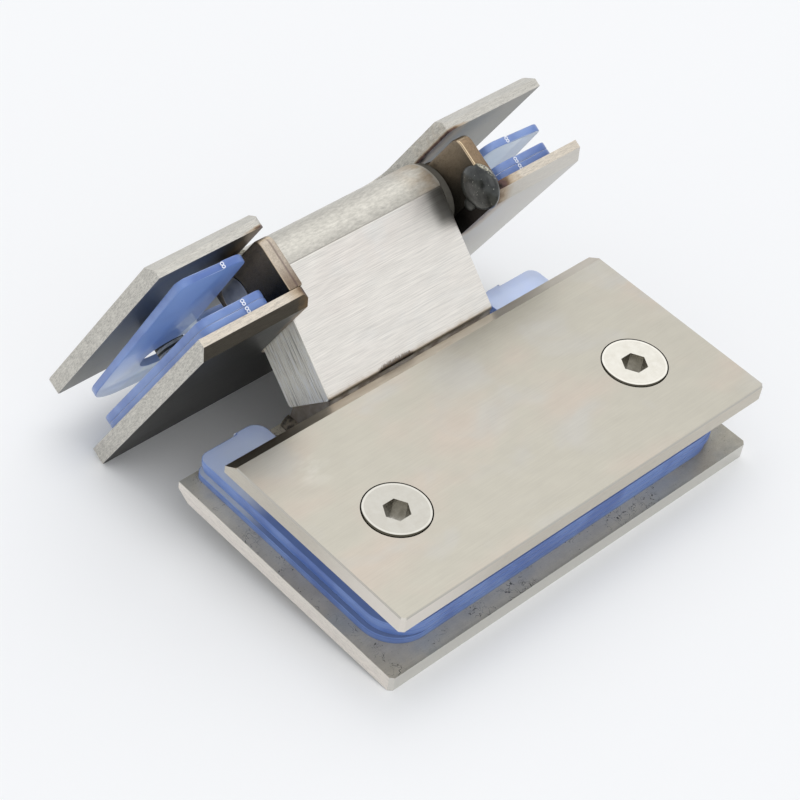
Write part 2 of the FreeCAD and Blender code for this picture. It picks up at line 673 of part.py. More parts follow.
pivot_in_fixed = shift("0", f"{BLOCK_END_BACK} + block_reach * cos(block_lean)",
                       f"{BLOCK_END_UP} + block_reach * sin(block_lean)")
block_in_fixed = pivot_in_fixed * turn(-value("block_lean"))
pin_in_fixed = pivot_in_fixed * turn(HALF_TURN - value("swing_lean"))
swing_in_fixed = pin_in_fixed * shift("0", PIVOT_INSET, "0")
resting_edge = swing_in_fixed.multVec(Vector(0, value("-plate_depth"), value(swing_outer)))
on_the_floor = Vector(0, resting_edge.y, 0)
tilt = Placement(Vector(), Rotation(Vector(0, resting_edge.y, resting_edge.z), on_the_floor))

fixed_parts = {
    fixed_inner_plate: Placement(),
    fixed_outer_plate: Placement(),
    block_foot(): Placement(),
    foot_weld("foot_weld_left", "-"): Placement(),
    foot_weld("foot_weld_right", ""): Placement(),
    hinge_block(): block_in_fixed,
    spring_cover(): block_in_fixed,
    follower(): block_in_fixed,
}
swing_parts = {
    swing_front_plate: swing_in_fixed,
    swing_back_plate: swing_in_fixed,
    pivot_pin(): pin_in_fixed,
    weld_bead(): swing_in_fixed * shift(EAR_FACE, "-bead_inset", "bead_level"),
}

for side, sign in (("left", "-"), ("right", "")):
    screw_foot = shift(f"{sign}{SCREW_ACROSS}", SCREW_INSET, f"{fixed_outer} - screw_length")
    fixed_parts[screw(f"fixed_screw_{side}")] = screw_foot
    turned_screw = shift(f"{sign}{SCREW_ACROSS}", SCREW_FROM_HINGE, f"screw_length - {swing_outer}")
    swing_parts[screw(f"swing_screw_{side}")] = swing_in_fixed * turned_screw * turn(HALF_TURN)
    spring_foot = shift(f"{sign}spring_spacing / 2", "0", COVER_TOP)
    fixed_parts[spring(f"spring_{side}")] = block_in_fixed * spring_foot
    bush_start = "-block_width / 2" if sign else "block_width / 2 - bush_length"
    bush = ring(f"bush_{side}", BUSH_OUTSIDE, BUSH_BORE, "bush_length")
    fixed_parts[bush] = block_in_fixed * shift(bush_start, "0", "0")
    inner_face = "block_width / 2 + washer_clearance"
    washer_start = f"-({inner_face} + washer_thickness)" if sign else inner_face
    washer = ring(f"washer_{side}", "washer_diameter", BUSH_BORE, "washer_thickness")
    fixed_parts[washer] = block_in_fixed * shift(washer_start, "0", "0")
    ear_start = f"-({EAR_FACE} + ear_thickness)" if sign else EAR_FACE
    swing_parts[ear(f"ear_{side}")] = pin_in_fixed * shift(ear_start, "0", "0")

fixed_slips = {"bottom": "0", "middle": "middle_gasket_slip", "top": "top_gasket_slip"}
for layer, (name, slip) in enumerate(fixed_slips.items()):
    level = f"plate_thickness + {layer} * gasket_thickness"
    fixed_parts[gasket(f"fixed_gasket_{name}")] = shift(slip, "plate_depth", level)

for layer, name in enumerate(("outer", "inner"), start=1):
    level = f"{swing_inner} - {layer} * gasket_thickness"
    slid = swing_in_fixed * shift("-swing_gasket_slip", "-swing_gasket_drop", level)
    in_plane = Placement(Vector(), Rotation(Vector(0, 0, 1), -value("swing_gasket_turn")))
    swing_parts[gasket(f"swing_gasket_{name}")] = slid * in_plane

loose_level = f"loose_gasket_gap - {swing_inner}"
loose = swing_in_fixed * shift("-loose_gasket_slip", "-loose_gasket_drop", loose_level)
leaning = Rotation(AXIS, -value("loose_gasket_lean"))
twisted = Rotation(Vector(0, 1, 0), -value("loose_gasket_twist"))
turned = Rotation(Vector(0, 0, 1), -value("loose_gasket_turn"))
swing_parts[gasket("swing_gasket_loose")] = loose * Placement(Vector(), leaning * twisted * turned)

doc.recompute()
for body, place in {**fixed_parts, **swing_parts}.items():
    body.Placement = tilt * place
doc.recompute()

bodies = [*fixed_parts, *swing_parts]


def check_model():
    """Stops if a feature failed or a piece has no sound shape."""
    for item in doc.Objects:
        if "Invalid" in item.State or "Error" in item.State:
            raise RuntimeError(f"{item.Label} could not be built")
    for body in bodies:
        if body.Shape.isNull() or not body.Shape.isValid() or not body.Shape.Solids:
            raise RuntimeError(f"{body.Label} has no sound shape")


check_model()

# The row's origin: under the middle of the whole part
extent = FreeCAD.BoundBox()
for body in bodies:
    extent.add(body.Shape.optimalBoundingBox(False))
centring = Placement(Vector(-extent.Center.x, -extent.Center.y, -extent.ZMin), Rotation())
for body in bodies:
    body.Placement = centring * body.Placement
doc.recompute()
check_model()

os.makedirs("parts", exist_ok=True)
for body in bodies:
    body.Shape.exportStep(f"parts/{body.Label}.step")
    print(body.Label, len(body.Shape.Solids), round(body.Shape.Volume, 1))
print("extent", extent, "pivot", (centring * tilt * pivot_in_fixed).Base)
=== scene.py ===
import json
import math

import bpy
from bpy.props import FloatProperty, FloatVectorProperty, PointerProperty
from mathutils import Euler, Matrix, Vector


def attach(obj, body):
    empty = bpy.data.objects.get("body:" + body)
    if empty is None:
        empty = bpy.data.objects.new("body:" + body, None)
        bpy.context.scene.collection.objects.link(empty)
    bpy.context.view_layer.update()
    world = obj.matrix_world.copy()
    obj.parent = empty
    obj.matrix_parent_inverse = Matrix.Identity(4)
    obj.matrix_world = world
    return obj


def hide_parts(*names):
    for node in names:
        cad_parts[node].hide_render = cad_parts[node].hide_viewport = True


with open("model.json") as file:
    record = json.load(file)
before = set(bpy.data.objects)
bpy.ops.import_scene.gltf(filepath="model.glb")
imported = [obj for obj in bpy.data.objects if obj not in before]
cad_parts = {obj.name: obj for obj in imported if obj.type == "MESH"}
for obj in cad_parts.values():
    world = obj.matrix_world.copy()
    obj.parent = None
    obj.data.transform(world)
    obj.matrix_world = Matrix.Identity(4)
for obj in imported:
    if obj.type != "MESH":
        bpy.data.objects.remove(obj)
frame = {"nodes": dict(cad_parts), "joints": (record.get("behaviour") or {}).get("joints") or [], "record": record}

bl_info = {
    "name": "Glass door hinge",
    "version": (1, 0, 0),
    "blender": (4, 5, 0),
    "location": "View3D > Sidebar > Hinge",
    "description": "Finishes, gaskets, welds and stage of a glass to glass door hinge",
    "category": "Object",
}

MM = 0.001
NODES = frame["nodes"]
JOINTS = {joint["name"]: joint for joint in frame["joints"]}
MOUNTS = {mount["name"]: mount for mount in frame["record"]["mounts"]}
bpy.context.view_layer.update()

# Directions and places of the three sub-assemblies, from the frame's mounts and joints, and the
# place of the glass seat in its own clamp
ACROSS = Vector((1, 0, 0))
PIVOT = Vector(JOINTS["swing"]["pos_m"])
FIXED_UP = Vector(MOUNTS["fixed_glass_seat"]["axis"])
FIXED_BACK = FIXED_UP.cross(ACROSS)
SEAT_IN_CLAMP = Vector((0.45, 15.0, 7.8)) * MM
FIXED_ORIGIN = (Vector(MOUNTS["fixed_glass_seat"]["pos_m"]) - ACROSS * SEAT_IN_CLAMP.x
                - FIXED_BACK * SEAT_IN_CLAMP.y - FIXED_UP * SEAT_IN_CLAMP.z)
SWING_HINGE = -Vector(MOUNTS["swing_glass_slot"]["axis"])
SWING_FRONT = ACROSS.cross(SWING_HINGE)
BLOCK_UP = -Vector(JOINTS["follower_slide"]["axis"])
BLOCK_FRONT = BLOCK_UP.cross(ACROSS)

# Where the patterns of each sub-assembly start, and how they are turned about X
FIXED_CLAMP = (FIXED_ORIGIN, -math.atan2(FIXED_BACK.z, FIXED_BACK.y))
SWINGING_CLAMP = (PIVOT, -math.atan2(SWING_HINGE.z, SWING_HINGE.y))
BLOCK = (PIVOT, math.atan2(BLOCK_UP.y, BLOCK_UP.z))

# Sizes of the CAD model that the patterns follow, in millimetres
PLATE_HALF = 45.0
PLATE_DEPTH = 55.0
COVER_DEPTH = 44.0
COVER_TOP = 18.6
BEVEL = 2.7
SCREW_ACROSS = 29.5
SCREW_INSET = 18.15
SEAT_RADIUS = 6.25
HEAD_RADIUS = 6.0
HEAD_DEPTH = 3.2
SOCKET_RADIUS = 2.8
THREAD_PITCH = 1.0
PIVOT_INSET = 16.0
SWING_SCREW = SCREW_INSET - PLATE_DEPTH + PIVOT_INSET
SWING_INNER = 6.0
SWING_OUTER = 9.3
EAR_FACE = 22.05
EAR_END = 25.0
EAR_WELD = (3.0, PIVOT_INSET)
BLOCK_HALF = 20.25
BLOCK_FOOT = -23.1
BARREL_LINE = 1.66
GASKET_THICKNESS = 1.5

# Each screw's clamp, the way its head faces, its inset and the level of its head
SCREWS = {"fixed": (FIXED_CLAMP, FIXED_UP, SCREW_INSET, COVER_TOP),
          "swing": (SWINGING_CLAMP, -SWING_FRONT, SWING_SCREW, -SWING_OUTER)}

# The gaskets of each body, their clamp, the way their flat side faces and the way to the hinge
GASKETS = {
    "fixed_clamp": (("fixed_gasket_bottom", "fixed_gasket_middle", "fixed_gasket_top"),
                    FIXED_CLAMP, FIXED_UP, FIXED_BACK),
    "swinging_clamp": (("swing_gasket_outer", "swing_gasket_inner", "swing_gasket_loose"),
                       SWINGING_CLAMP, SWING_FRONT, SWING_HINGE),
}

# Where marks and painted light lie, in millimetres: a rubbed spot on the cover plate, the painted dark
# and painted bright reflections on the front plate's face, and on the block the painted shade beside
# the ear and a burn
RUBBED_SPOT = (-35.0, 33.6)
SHADED_STRETCH = (-16.0, 22.0)
PAINTED_REFLECTION_STRETCH = (14.0, 24.0)
EAR_SHADE = (15.2, 18.0)
BURN_MIDDLE = -4.0

# The line on the loose gasket where the stack behind it ends and its painted see-through tone changes, in
# millimetres, and its lean
STACK_CORNER = (-27.5, -5.2)
STACK_LEAN = 0.305

# A figure's height as a share of its text size, and a weld's lumps as shares of its half size
FIGURE_HEIGHT = 0.7
LUMP_SIZE = 0.45
LUMP_HEIGHT = 0.025

# How close, in millimetres, two points of a CAD solid lie that are one
MERGE_WITHIN = 0.002

# Colours of heated steel with the distances from a weld between which each fades out, and its share
HEAT_STEPS = (("straw", 4.5, 7.5, 0.6), ("heat", 3.0, 5.0, 0.85), ("plum", 2.2, 3.4, 0.7),
              ("soot", 1.0, 2.4, 0.95))


def display(red, green, blue):
    """A colour as a screen shows it, 0 to 255, turned into the renderer's linear values."""
    linear = []
    for part in (red, green, blue):
        share = part / 255
        linear.append(share / 12.92 if share <= 0.04045 else ((share + 0.055) / 1.055) ** 2.4)
    return tuple(linear)


def colour(name, description, *shade):
    """A colour setting, given as a screen shows it."""
    return FloatVectorProperty(name=name, description=description, default=display(*shade),
                               subtype="COLOR")


def length(name, description, millimetres):
    """A length setting, given in millimetres."""
    return FloatProperty(name=name, description=description, default=millimetres * MM, unit="LENGTH")


def lengths(name, description, *millimetres):
    """A setting of three lengths along three axes, given in millimetres."""
    return FloatVectorProperty(name=name, description=description, subtype="XYZ", unit="LENGTH",
                               default=[part * MM for part in millimetres])


def position(name, description, *metres):
    """A point setting, given in metres."""
    return FloatVectorProperty(name=name, description=description, default=metres,
                               subtype="TRANSLATION")


class HingeFinishes(bpy.types.PropertyGroup):
    """Colours of the steel, the welds, the screws and the gaskets."""

    plate: colour("Plate", "Brushed face of a clamp plate", 168, 164, 153)
    plate_rose: colour("Plate, warm", "Warm soft patches on a brushed face", 173, 164, 153)
    plate_blue: colour("Plate, cool", "Cool soft patches on a brushed face", 169, 166, 159)
    mill: colour("Mill face", "Inner face of the fixed inner plate", 214, 208, 192)
    mill_rose: colour("Mill face, warm", "Warm patches on the mill face", 200, 193, 179)
    mill_blue: colour("Mill face, cool", "Cool patches on the mill face", 193, 193, 187)
    # The inside colours are darkened as painted shade between the two swinging plates
    inside: colour("Inside", "Inner faces of the swinging plates", 124, 123, 117)
    inside_rose: colour("Inside, warm", "Warm patches on the inner faces", 130, 126, 119)
    inside_blue: colour("Inside, cool", "Cool patches on the inner faces", 115, 117, 119)
    sawn: colour("Sawn steel", "Ends and edges of the swinging plates", 196, 193, 185)
    # The bright colour is a painted highlight on edges and rims, and also the colour of rubbed spots
    bright: colour("Bright steel", "Worn edges and rubbed spots", 193, 190, 183)
    cover_side: colour("Cover side", "Sides of the cover plate", 202, 196, 184)
    # Painted highlight on the cover plate's sides near the left front corner
    cover_corner_highlight: colour("Cover corner", "Pale side near the left corner", 233, 227, 219)
    bevel: colour("Bevel", "Front bevel of the cover plate", 195, 188, 176)
    bevel_dark: colour("Bevel, dark", "Dark stretches of that bevel", 166, 155, 140)
    inner_side: colour("Inner side", "Sides of the fixed inner plate", 233, 227, 219)
    inner_front: colour("Inner front", "Front and back edge of that plate", 214, 212, 206)
    front_edge: colour("Front edge", "Hinge edge of the front plate", 210, 201, 187)
    # Painted dark reflection and painted bright reflection on the two ends of the front plate's face
    front_dark: colour("Front, dark", "Shaded end of the front plate", 34, 36, 36)
    front_painted_reflection: colour("Front, pale", "Bright end of the front plate", 204, 202, 197)
    straw: colour("Straw tint", "Steel heated a little", 166, 140, 105)
    heat: colour("Brown tint", "Steel heated more", 105, 83, 64)
    plum: colour("Plum tint", "Steel heated close to a weld", 83, 62, 68)
    soot: colour("Soot", "Burnt metal", 33, 32, 30)
    block: colour("Block", "Brushed face of the block", 230, 226, 219)
    block_rose: colour("Block, warm", "Warm patches on the block", 230, 224, 217)
    block_blue: colour("Block, cool", "Cool patches on the block", 227, 225, 220)
    block_side: colour("Block side", "Sawn sides of the block", 251, 248, 238)
    block_score: colour("Block score", "Deep saw scores on those sides", 119, 115, 106)
    block_shadow: colour("Block shadow", "Shaded strip beside the right ear", 90, 87, 80)
    barrel: colour("Barrel", "Matte round end of the block", 185, 182, 174)
    barrel_seam: colour("Barrel seam", "Line between barrel and face", 123, 119, 109)
    smoke: colour("Smoke", "Brown haze along the foot of the block", 195, 179, 155)
    foot: colour("Foot", "Wedge under the block", 217, 208, 193)
    foot_brown: colour("Foot, brown", "Smutted parts of the wedge", 166, 151, 134)
    foot_left: colour("Foot, left", "Left end of the wedge", 100, 94, 87)
    hidden: colour("Hidden steel", "Springs, follower, plug and pin", 123, 123, 121)
    hidden_pale: colour("Hidden steel, pale", "Clean places on them", 179, 179, 178)
    bearing: colour("Bush", "Plastic bushes", 206, 204, 192)
    bearing_worn: colour("Bush, worn", "Worn places on the bushes", 187, 185, 174)
    washer: colour("Washer", "Thrust washers", 79, 77, 71)
    washer_pale: colour("Washer, pale", "Pale places on the washers", 105, 102, 94)
    screw: colour("Screw", "Polished screw head", 187, 185, 178)
    screw_haze: colour("Screw haze", "Hazy places on a head", 178, 174, 164)
    # Painted shadow as a dark crescent at a head's edge, and a painted highlight as a fine ring inside it
    screw_edge_shadow: colour("Screw edge", "Dark crescent at the edge of a head", 62, 59, 50)
    screw_rim_highlight: colour("Screw rim", "Fine bright ring inside that edge", 227, 225, 217)
    # Painted shade and painted light on the socket walls, and painted glints on the socket floor
    socket_dark: colour("Socket, dark", "Dark walls of a socket", 66, 62, 52)
    socket_pale: colour("Socket, pale", "Bright walls of a socket", 223, 219, 208)
    socket_floor: colour("Socket floor", "Floor of a socket", 141, 138, 128)
    socket_glint: colour("Socket glint", "Bright places on that floor", 236, 234, 229)
    ear_left: colour("Left ear", "Hinge end of the left ear", 187, 175, 160)
    ear_right: colour("Right ear", "Hinge end of the right ear", 141, 121, 98)
    ear_flank: colour("Ear flank", "Flat sides of the ears", 138, 124, 105)
    # The dark flank colour is painted shade between the plates, with a burnt tint
    ear_flank_shade_and_burn: colour("Ear flank, dark", "Burnt part of those sides", 49, 46, 40)
    # Painted highlight along the inner edge of the right ear
    ear_edge_highlight: colour("Ear ridge", "Rubbed line on the right ear", 233, 214, 178)
    ear_round: colour("Ear rounding", "Rounded edge that catches light", 214, 196, 168)
    weld: colour("Weld", "Burnt glossy weld", 20, 24, 23)
    weld_grey: colour("Weld, grey", "Grey crust on the weld", 50, 53, 50)
    weld_shine: colour("Weld shine", "Straw shine on top of the weld", 202, 196, 172)
    weld_fleck: colour("Weld flecks", "Small flecks in the weld", 141, 141, 134)
    foot_weld: colour("Foot weld", "Dull welds at the foot", 69, 64, 56)
    foot_weld_pale: colour("Foot weld, pale", "Clean places on them", 141, 132, 117)
    gasket_face: colour("Gasket face", "Clear sheet seen flat", 214, 223, 236)
    gasket_edge: colour("Gasket edge", "Clear sheet seen edge on", 92, 120, 184)
    gasket_edge_pale: colour("Gasket edge, pale", "Pale stretches of an edge", 118, 146, 204)
    gasket_seam: colour("Gasket seam", "Dark line between two gaskets", 60, 84, 156)
    gasket_rim: colour("Gasket rim", "Rounded rim that catches light", 190, 206, 236)
    gasket_shade: colour("Gasket shade", "Face close under the cover plate", 112, 134, 182)
    loose_pale: colour("Loose gasket, pale", "Free end of the loose gasket", 224, 232, 242)
    loose_blue: colour("Loose gasket, blue", "Hinge end of the loose gasket", 122, 154, 210)
    loose_clear: colour("Loose gasket, clear", "Part past the crossing line", 212, 222, 226)
    number: colour("Numbers", "Raised numbers on a gasket's edge", 236, 240, 250)


class HingeDetails(bpy.types.PropertyGroup):
    """Sizes of the modelled details."""

    gasket_round: length("Gasket rounding", "Radius along a gasket's edges", 0.28)
    ear_round: length("Ear rounding", "Radius along an ear's edges", 0.55)
    number_height: length("Number height", "Height of the number on an edge", 1.25)
    number_relief: length("Number relief", "How far a number stands out", 0.06)
    number_place: length("Number place", "From the number to the middle of its gasket", 35.9)
    tab_reach: length("Tab reach", "Half of the edge on which a number is centred", 4.0)
    edge_depth: length("Edge depth", "How far behind its foremost point an edge counts", 0.3)
    bead_size: lengths("Bead", "Half width, height and length of the bead", 2.12, 4.65, 4.5)
    bead_place: lengths("Bead place", "From the pin axis, in the clamp", 22.7, 13.3, 5.0)
    splash_size: lengths("Splash", "Half sizes of the small second bead", 0.7, 1.9, 1.3)
    splash_place: lengths("Splash place", "From the pin axis, in the clamp", 22.2, 8.9, 6.2)


class HingeStage(bpy.types.PropertyGroup):
    """Camera, floor, sky and lamps."""

    lens: FloatProperty(name="Lens", description="Focal length of the camera, in millimetres",
                        default=106.53)
    camera_place: position("Camera place", "Where the camera stands", -0.23581, -0.23710, 0.28528)
    camera_turn: FloatVectorProperty(name="Camera turn", description="How the camera is turned",
                                     default=(math.radians(50.576), math.radians(-1.478),
                                              math.radians(-43.542)), subtype="EULER")
    floor_size: FloatProperty(name="Floor size", description="Side of the floor", default=8.0,
                              unit="LENGTH")
    floor: colour("Floor", "Plain pale floor", 243, 244, 245)
    backdrop: colour("Backdrop", "The floor as it shows away from the hinge", 246, 247, 249)
    backdrop_share: FloatProperty(name="Backdrop share", description="How much of it shows there",
                                  default=0.45, subtype="FACTOR")
    sky: colour("Sky", "Even light all round", 248, 249, 251)
    sky_strength: FloatProperty(name="Sky strength", description="Strength of that light",
                                default=0.84)
    key: FloatProperty(name="Key lamp", description="Power of the large soft lamp", default=13.5,
                       unit="POWER")
    key_place: position("Key place", "Where the large soft lamp hangs", 0.75, 0.6, 2.1)
    fill: FloatProperty(name="Fill lamp", description="Power of the soft lamp at the camera's side",
                        default=10.0, unit="POWER")
    fill_place: position("Fill place", "Where the fill lamp hangs", -0.9, -1.6, 1.6)
    lamp_size: FloatProperty(name="Lamp size", description="Side of either soft lamp", default=2.2,
                             unit="LENGTH")
    lamp_aim: position("Lamp aim", "The point that both lamps face", 0.0, 0.0, 0.02)


def colours():
    return bpy.context.scene.hinge_finishes


def details():
    return bpy.context.scene.hinge_details


def feed(tree, socket, item):
    """Links a field or socket to a socket, or sets a constant on it."""
    if isinstance(item, Field):
        tree.links.new(item.socket, socket)
    elif isinstance(item, bpy.types.NodeSocket):
        tree.links.new(item, socket)
    elif socket.type == "RGBA" and len(item) == 3:
        socket.default_value = (*item, 1.0)
    else:
        socket.default_value = item


def add_node(tree, kind, sockets=None, **settings):
    """Adds a node with its settings, and then feeds its sockets, given by name or number."""
    node = tree.nodes.new(kind)
    for name, setting in settings.items():
        setattr(node, name, setting)
    for socket, item in (sockets or {}).items():
        feed(tree, node.inputs[socket], item)
    return node


class Field:
    """A shader value that takes part in sums, so that a pattern is written as an expression."""

    def __init__(self, tree, socket):
        self.tree = tree
        self.socket = socket

    def maths(self, operation, *terms, clamp=False):
        node = add_node(self.tree, "ShaderNodeMath", dict(enumerate(terms)), operation=operation,
                        use_clamp=clamp)
        return Field(self.tree, node.outputs[0])

    def __add__(self, other):
        return self.maths("ADD", self, other)

    def __sub__(self, other):
        return self.maths("SUBTRACT", self, other)

    def __rsub__(self, other):
        return self.maths("SUBTRACT", other, self)

    def __mul__(self, other):
        return self.maths("MULTIPLY", self, other)

    def __abs__(self):
        return self.maths("ABSOLUTE", self)

    __radd__ = __add__

    def root(self):
        return self.maths("SQRT", self)

    def clamped(self):
        return self.maths("ADD", self, 0.0, clamp=True)

    def folded(self, step):
        """Rises from 0 to a step and falls back, over and over."""
        return self.maths("PINGPONG", self, step)

    def rising(self, low, high):
        """0 below low, 1 above high, and a smooth step from one to the other."""
        node = add_node(self.tree, "ShaderNodeMapRange",
                        {"Value": self, "From Min": low, "From Max": high},
                        interpolation_type="SMOOTHSTEP")
        return Field(self.tree, node.outputs["Result"])

    def falling(self, low, high):
        """1 below low, 0 above high, and a smooth step from one to the other."""
        return 1 - self.rising(low, high)

    def near(self, middle, reach, soft):
        """1 within reach of the middle, fading out over the soft stretch."""
        return abs(self - middle).falling(reach, reach + soft)


class Finish:
    """A material under construction: a Principled shader and the patterns that feed it.

    Its x, y and z are the Object coordinates in millimetres from an origin, turned about X."""

    def __init__(self, name, origin=Vector(), turn=0.0, **constants):
        self.material = bpy.data.materials.new(name)
        self.material.use_nodes = True
        self.tree = self.material.node_tree
        self.tree.nodes.clear()
        self.shader = self.node("ShaderNodeBsdfPrincipled")
        self.output = self.node("ShaderNodeOutputMaterial", {"Surface": self.shader.outputs[0]})
        self.set(**constants)
        turned = Matrix.Rotation(turn, 3, "X") @ origin
        source = self.node("ShaderNodeTexCoord").outputs["Object"]
        mapping = self.node("ShaderNodeMapping", {
            "Vector": source, "Rotation": (turn, 0, 0), "Location": -turned / MM,
            "Scale": (1 / MM, 1 / MM, 1 / MM)})
        self.vector = mapping.outputs["Vector"]
        parts = self.node("ShaderNodeSeparateXYZ", {"Vector": self.vector})
        self.x, self.y, self.z = (Field(self.tree, parts.outputs[axis]) for axis in "XYZ")

    def node(self, kind, sockets=None, **settings):
        return add_node(self.tree, kind, sockets, **settings)

    def set(self, **inputs):
        for name, item in inputs.items():
            feed(self.tree, self.shader.inputs[name.replace("_", " ")], item)

    def blend(self, share, second):
        """Lets a second shader take its share of the surface."""
        mixer = self.node("ShaderNodeMixShader", {
            0: share, 1: self.shader.outputs[0], 2: second.outputs[0]})
        feed(self.tree, self.output.inputs["Surface"], mixer.outputs[0])

    def facing(self, direction):
        """How far the surface faces a direction of the row frame, from -1 to 1."""
        source = self.node("ShaderNodeTexCoord").outputs["Normal"]
        dot = self.node("ShaderNodeVectorMath", {0: source, 1: direction}, operation="DOT_PRODUCT")
        return Field(self.tree, dot.outputs["Value"])

    def noise(self, size, detail=2.0, stretch=(1, 1, 1), roughness=0.5, warp=0.0):
        """Noise with features of about the given size in millimetres, from 0 to 1."""
        mapping = self.node("ShaderNodeMapping", {
            "Vector": self.vector, "Scale": [1 / part for part in stretch]})
        node = self.node("ShaderNodeTexNoise", {
            "Vector": mapping.outputs["Vector"], "Scale": 1 / size, "Detail": detail,
            "Roughness": roughness, "Distortion": warp})
        return Field(self.tree, node.outputs["Fac"])

    def mix(self, share, first, second, blend_type="MIX"):
        """A colour between two others."""
        mixer = self.node("ShaderNodeMix", {"Factor": share, 6: first, 7: second},
                          data_type="RGBA", blend_type=blend_type)
        return mixer.outputs[2]

    def shade(self, tone, factor):
        """A colour made lighter or darker by a factor."""
        grey = self.node("ShaderNodeCombineXYZ", {"X": factor, "Y": factor, "Z": factor})
        return self.mix(1.0, tone, grey.outputs[0], "MULTIPLY")

    def relief(self, height, distance, strength=1.0):
        """Bump from a height field, with its depth in millimetres."""
        bump = self.node("ShaderNodeBump", {
            "Height": height, "Distance": distance * MM, "Strength": strength})
        self.set(Normal=bump.outputs["Normal"])


def either(first, second):
    """1 where either field is 1."""
    return first.maths("MAXIMUM", first, second)


def from_point(x, y, middle_x, middle_y):
    """Distance in millimetres from a point of a plate's plane."""
    return ((x - middle_x) * (x - middle_x) + (y - middle_y) * (y - middle_y)).root()


def nearest_on(along, low, high):
    """The nearest place on a stretch from low to high."""
    return along.maths("MAXIMUM", along.maths("MINIMUM", along, high), low)


def screw_seats(finish, inset):
    """1 inside the countersunk seats of a clamp's two screws."""
    ring = from_point(abs(finish.x), finish.y, SCREW_ACROSS, inset)
    return ring.falling(SEAT_RADIUS - 0.02, SEAT_RADIUS + 0.04)


def brushed(finish, family, contrast=0.12):
    """Fine grain along the hinge line and soft warm and cool patches; returns colour and grain."""
    face, rose, blue = (getattr(colours(), family + patch) for patch in ("", "_rose", "_blue"))
    grain = finish.noise(0.17, 3.0, (90, 1, 1))
    hair = finish.noise(0.09, 2.0, (40, 1, 1))
    warm = finish.noise(15.0, 3.0, (1.4, 1, 1))
    cool = finish.noise(11.0, 3.0, (1.2, 1, 1), warp=0.4)
    cloud = finish.noise(2.6, 4.0, (1.8, 1, 1))
    tone = finish.mix(warm.rising(0.45, 0.68), face, rose)
    tone = finish.mix(cool.rising(0.5, 0.72), tone, blue)
    streak = grain.rising(0.25, 0.75) * 0.5 + hair.rising(0.3, 0.7) * 0.5
    tone = finish.shade(tone, 1.0 + (streak - 0.5) * contrast + (cloud - 0.5) * 0.12)
    return tone, streak


def sawn(finish, tone, stretch, contrast, pits):
    """Fine saw marks along one direction and dark pits; returns colour and groove height."""
    groove = finish.noise(0.16, 4.0, stretch, 0.6)
    wide = finish.noise(0.5, 2.0, stretch)
    height = groove.rising(0.3, 0.65) * 0.7 + wide.rising(0.3, 0.7) * 0.3
    pit = finish.noise(0.22, 3.0).rising(0.6, 0.7)
    return finish.shade(tone, 1.0 + (height - 0.5) * contrast - pit * pits), height - pit


def heated(finish, tone, distance):
    """Straw, brown, plum and soot, the closer the steel is to a weld; distance in millimetres."""
    near = distance + (finish.noise(1.3, 4.0) - 0.5) * 3.0
    for name, low, high, share in HEAT_STEPS:
        tone = finish.mix(near.falling(low, high) * share, tone, getattr(colours(), name))
    return tone


def cover_plate_finish():
    """Brushed cover plate with sawn sides, painted highlights on its edges and near its left front corner, a front
    bevel in darker and paler stretches and dark screw seats.
    """
    tint = colours()
    cover = Finish("fixed_outer_plate", *FIXED_CLAMP, Metallic=1.0)
    flat = cover.facing(FIXED_UP)
    upright = abs(flat).falling(0.2, 0.4)
    face, grain = brushed(cover, "plate")

    side, groove = sawn(cover, tint.cover_side, (10, 10, 1), 0.12, 0.1)
    # Painted highlight on the sides near the left front corner
    corner = from_point(cover.x, cover.y, -PLATE_HALF, 0.0).falling(4.0, 26.0)
    tone = cover.mix(upright, face, cover.mix(corner * 0.8, side, tint.cover_corner_highlight))

    # Painted highlight on the edges where the top turns down
    worn = flat.rising(0.4, 0.6) * flat.falling(0.93, 0.98)
    tone = cover.mix(worn * 0.7, tone, tint.bright)
    bevel = worn * cover.y.rising(COVER_DEPTH - BEVEL - 0.1, COVER_DEPTH - BEVEL)
    paler = cover.noise(1.2, 4.0, (3, 1, 1)) * 0.6 + cover.x.rising(-40.0, 30.0) * 0.4
    tone = cover.mix(bevel, tone, cover.mix(paler.rising(0.2, 0.8), tint.bevel_dark, tint.bevel))

    rubbed = from_point(cover.x, cover.y, *RUBBED_SPOT).falling(1.0, 5.0)
    smear = cover.noise(1.6, 3.0, (2, 1, 1)).rising(0.35, 0.7)
    tone = cover.mix(rubbed * smear * 0.4, tone, tint.bright)

    tone = cover.mix(screw_seats(cover, SCREW_INSET) * flat.falling(0.95, 0.99), tone, tint.soot)
    cover.set(Base_Color=tone, Roughness=0.34 + grain * 0.08 + upright * 0.08)
    cover.relief(grain * (1 - upright) * 0.3 + groove * upright * 0.4, 0.02, 0.4)
    return cover


